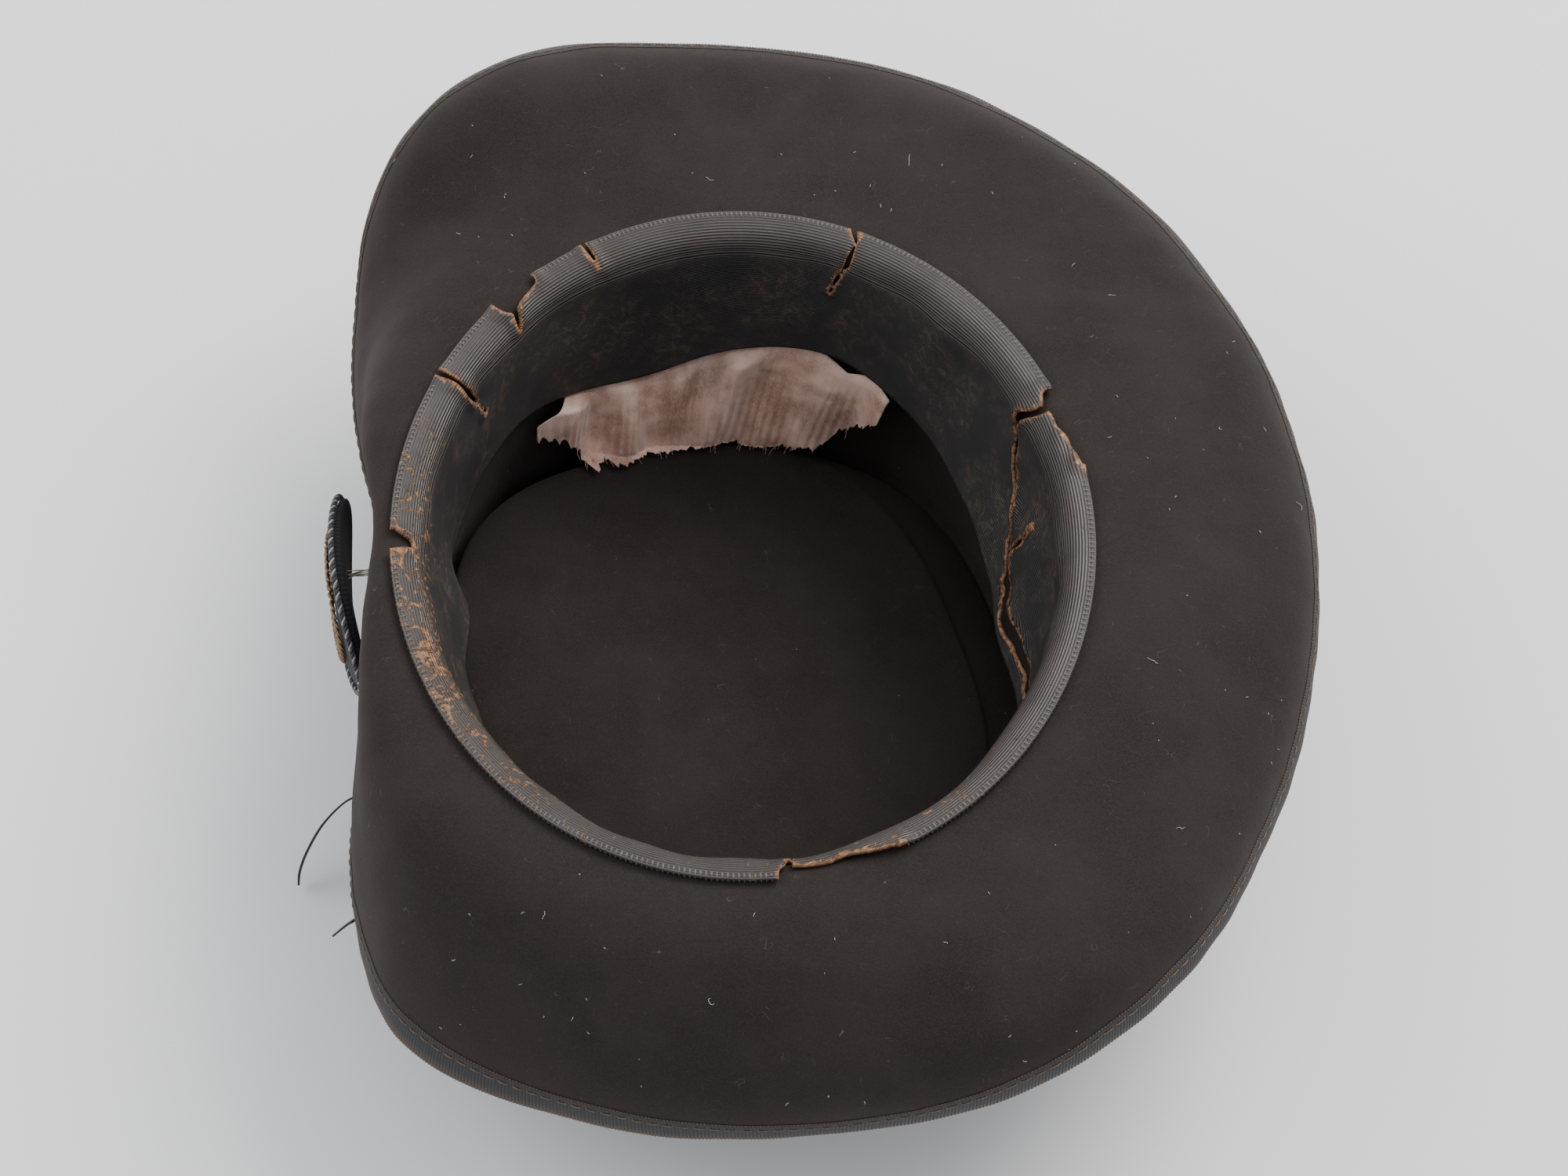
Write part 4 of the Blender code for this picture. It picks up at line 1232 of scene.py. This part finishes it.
def badge_threads():
    start = brim_point(math.radians(THREAD_ANGLE), THREAD_DOWN * BRIM_WIDTH, 0.0002)
    draw = np.random.default_rng(5)
    paths = []
    for _ in range(TIE_COUNT):
        begin = start + draw.normal(0.0, 0.0006, 3)
        local = (begin - badge_middle()) @ badge_turn()
        depth = BADGE_THICKNESS * 0.35 - badge_bow(local[1])
        end = badge_place([depth, local[1] + draw.normal(0, 0.0008), local[2]])
        middle = (begin + end) / 2 + np.array([0.0, draw.normal(0, 0.0006), draw.uniform(0.0, 0.0012)])
        paths.append(smooth_rows([begin, middle, end], 9))
    look = plain_material("tie_look", (0.36, 0.29, 0.21), 0.8)
    return strands("badge_stitches", paths, TIE_RADIUS, 5, 0.0, look, "grey_thread", "badge_thread")


# Lint

HairRow = namedtuple("HairRow", "angle length size")
HAIRS = table(
    HairRow,
    (90.5, 14.5, 0.9), (63.0, 28.1, 1.3), (1.5, 57.2, 1.2), (336.0, 16.5, 1.0), (31.0, 33.0, 0.7),
    (318.0, 41.0, 0.8), (262.0, 30.0, 0.9), (240.0, 22.0, 0.7),
)
HAIR_RADIUS = 0.000065
HAIR_STEP = 0.00055
FLUFF_COUNT = 34


def lint():
    """A few pale hairs and fluffs on the brim."""
    draw = np.random.default_rng(51)
    rows = list(HAIRS)
    for _ in range(FLUFF_COUNT):
        for first, last in ((0.0, 125.0), (225.0, 360.0)):
            angle = draw.uniform(first, last)
            rows.append(HairRow(angle, draw.uniform(8.0, 66.0), draw.uniform(0.12, 0.45)))
    paths = []
    for row in rows:
        bend = np.cumsum(draw.normal(0.0, 0.55, 7)) + draw.uniform(0.0, TAU)
        step = HAIR_STEP * row.size
        along = row.length / 1000.0 + np.cumsum(np.sin(bend) * step)
        theta = math.radians(row.angle) + np.cumsum(np.cos(bend) * step) / 0.13
        paths.append(brim_point(theta, along, 0.00022 + 0.00006 * np.sin(bend)))
    look = plain_material("lint_look", (0.62, 0.60, 0.57), 0.8)
    return strands("brim_lint", paths, HAIR_RADIUS, 4, 0.4, look, "grey_thread")


# Setting


def setting():
    camera = bpy.data.objects.new("camera", bpy.data.cameras.new("camera"))
    bpy.context.scene.collection.objects.link(camera)
    camera.location = CAMERA_PLACE + HAT_SHIFT
    camera.rotation_euler = (math.radians(90.0 - CAMERA_DOWN), 0.0, 0.0)
    camera.data.lens = CAMERA_LENS
    camera.data.sensor_width = 36.0
    bpy.context.scene.camera = camera

    mesh = bpy.data.meshes.new("floor")
    mesh.from_pydata([(-4, -3, 0), (4, -3, 0), (4, 5, 0), (-4, 5, 0)], [], [(0, 1, 2, 3)])
    floor = bpy.data.objects.new("floor", mesh)
    bpy.context.scene.collection.objects.link(floor)
    m = Nodes("floor_look")
    floor.data.materials.append(m.done((0.90, 0.895, 0.89), 0.85, Specular_IOR_Level=0.1))

    world = bpy.data.worlds.new("studio")
    bpy.context.scene.world = world
    world.use_nodes = True
    world.node_tree.nodes["Background"].inputs["Color"].default_value = (0.93, 0.95, 1.0, 1.0)
    world.node_tree.nodes["Background"].inputs["Strength"].default_value = 0.90

    def lamp(name, place, aim, size, power, colour):
        light = bpy.data.lights.new(name, "AREA")
        light.shape = "RECTANGLE"
        light.size, light.size_y = size
        light.energy = power
        light.color = colour
        lamp_object = bpy.data.objects.new(name, light)
        bpy.context.scene.collection.objects.link(lamp_object)
        lamp_object.location = place
        lamp_object.rotation_mode = "QUATERNION"
        lamp_object.rotation_quaternion = (Vector(aim) - Vector(place)).to_track_quat("-Z", "Y")

    lamp("key", (0.9, 0.9, 1.5), (0.0, 0.0, 0.05), (1.4, 1.0), 44.0, (1.0, 0.985, 0.96))
    lamp("fill", (-1.3, 0.2, 1.2), (0.0, 0.0, 0.05), (1.2, 1.2), 11.0, (0.96, 0.98, 1.0))


setting()
felt()
ribbon = ribbon_material()
binding(ribbon)
binding_stitches()
binding_picots()
sweatband()
sweatband_stitches()
lining()
lining_threads()
hatband(ribbon)
tail("tail_long", "ribbon_tail_long", LONG_TAIL_ANGLE, LONG_TAIL, LONG_TAIL_REACH, ribbon)
tail("tail_short", "ribbon_tail_short", SHORT_TAIL_ANGLE, SHORT_TAIL, SHORT_TAIL_REACH, ribbon)
badge_pad()
badge_cord()
badge_wirework()
badge_threads()
lint()
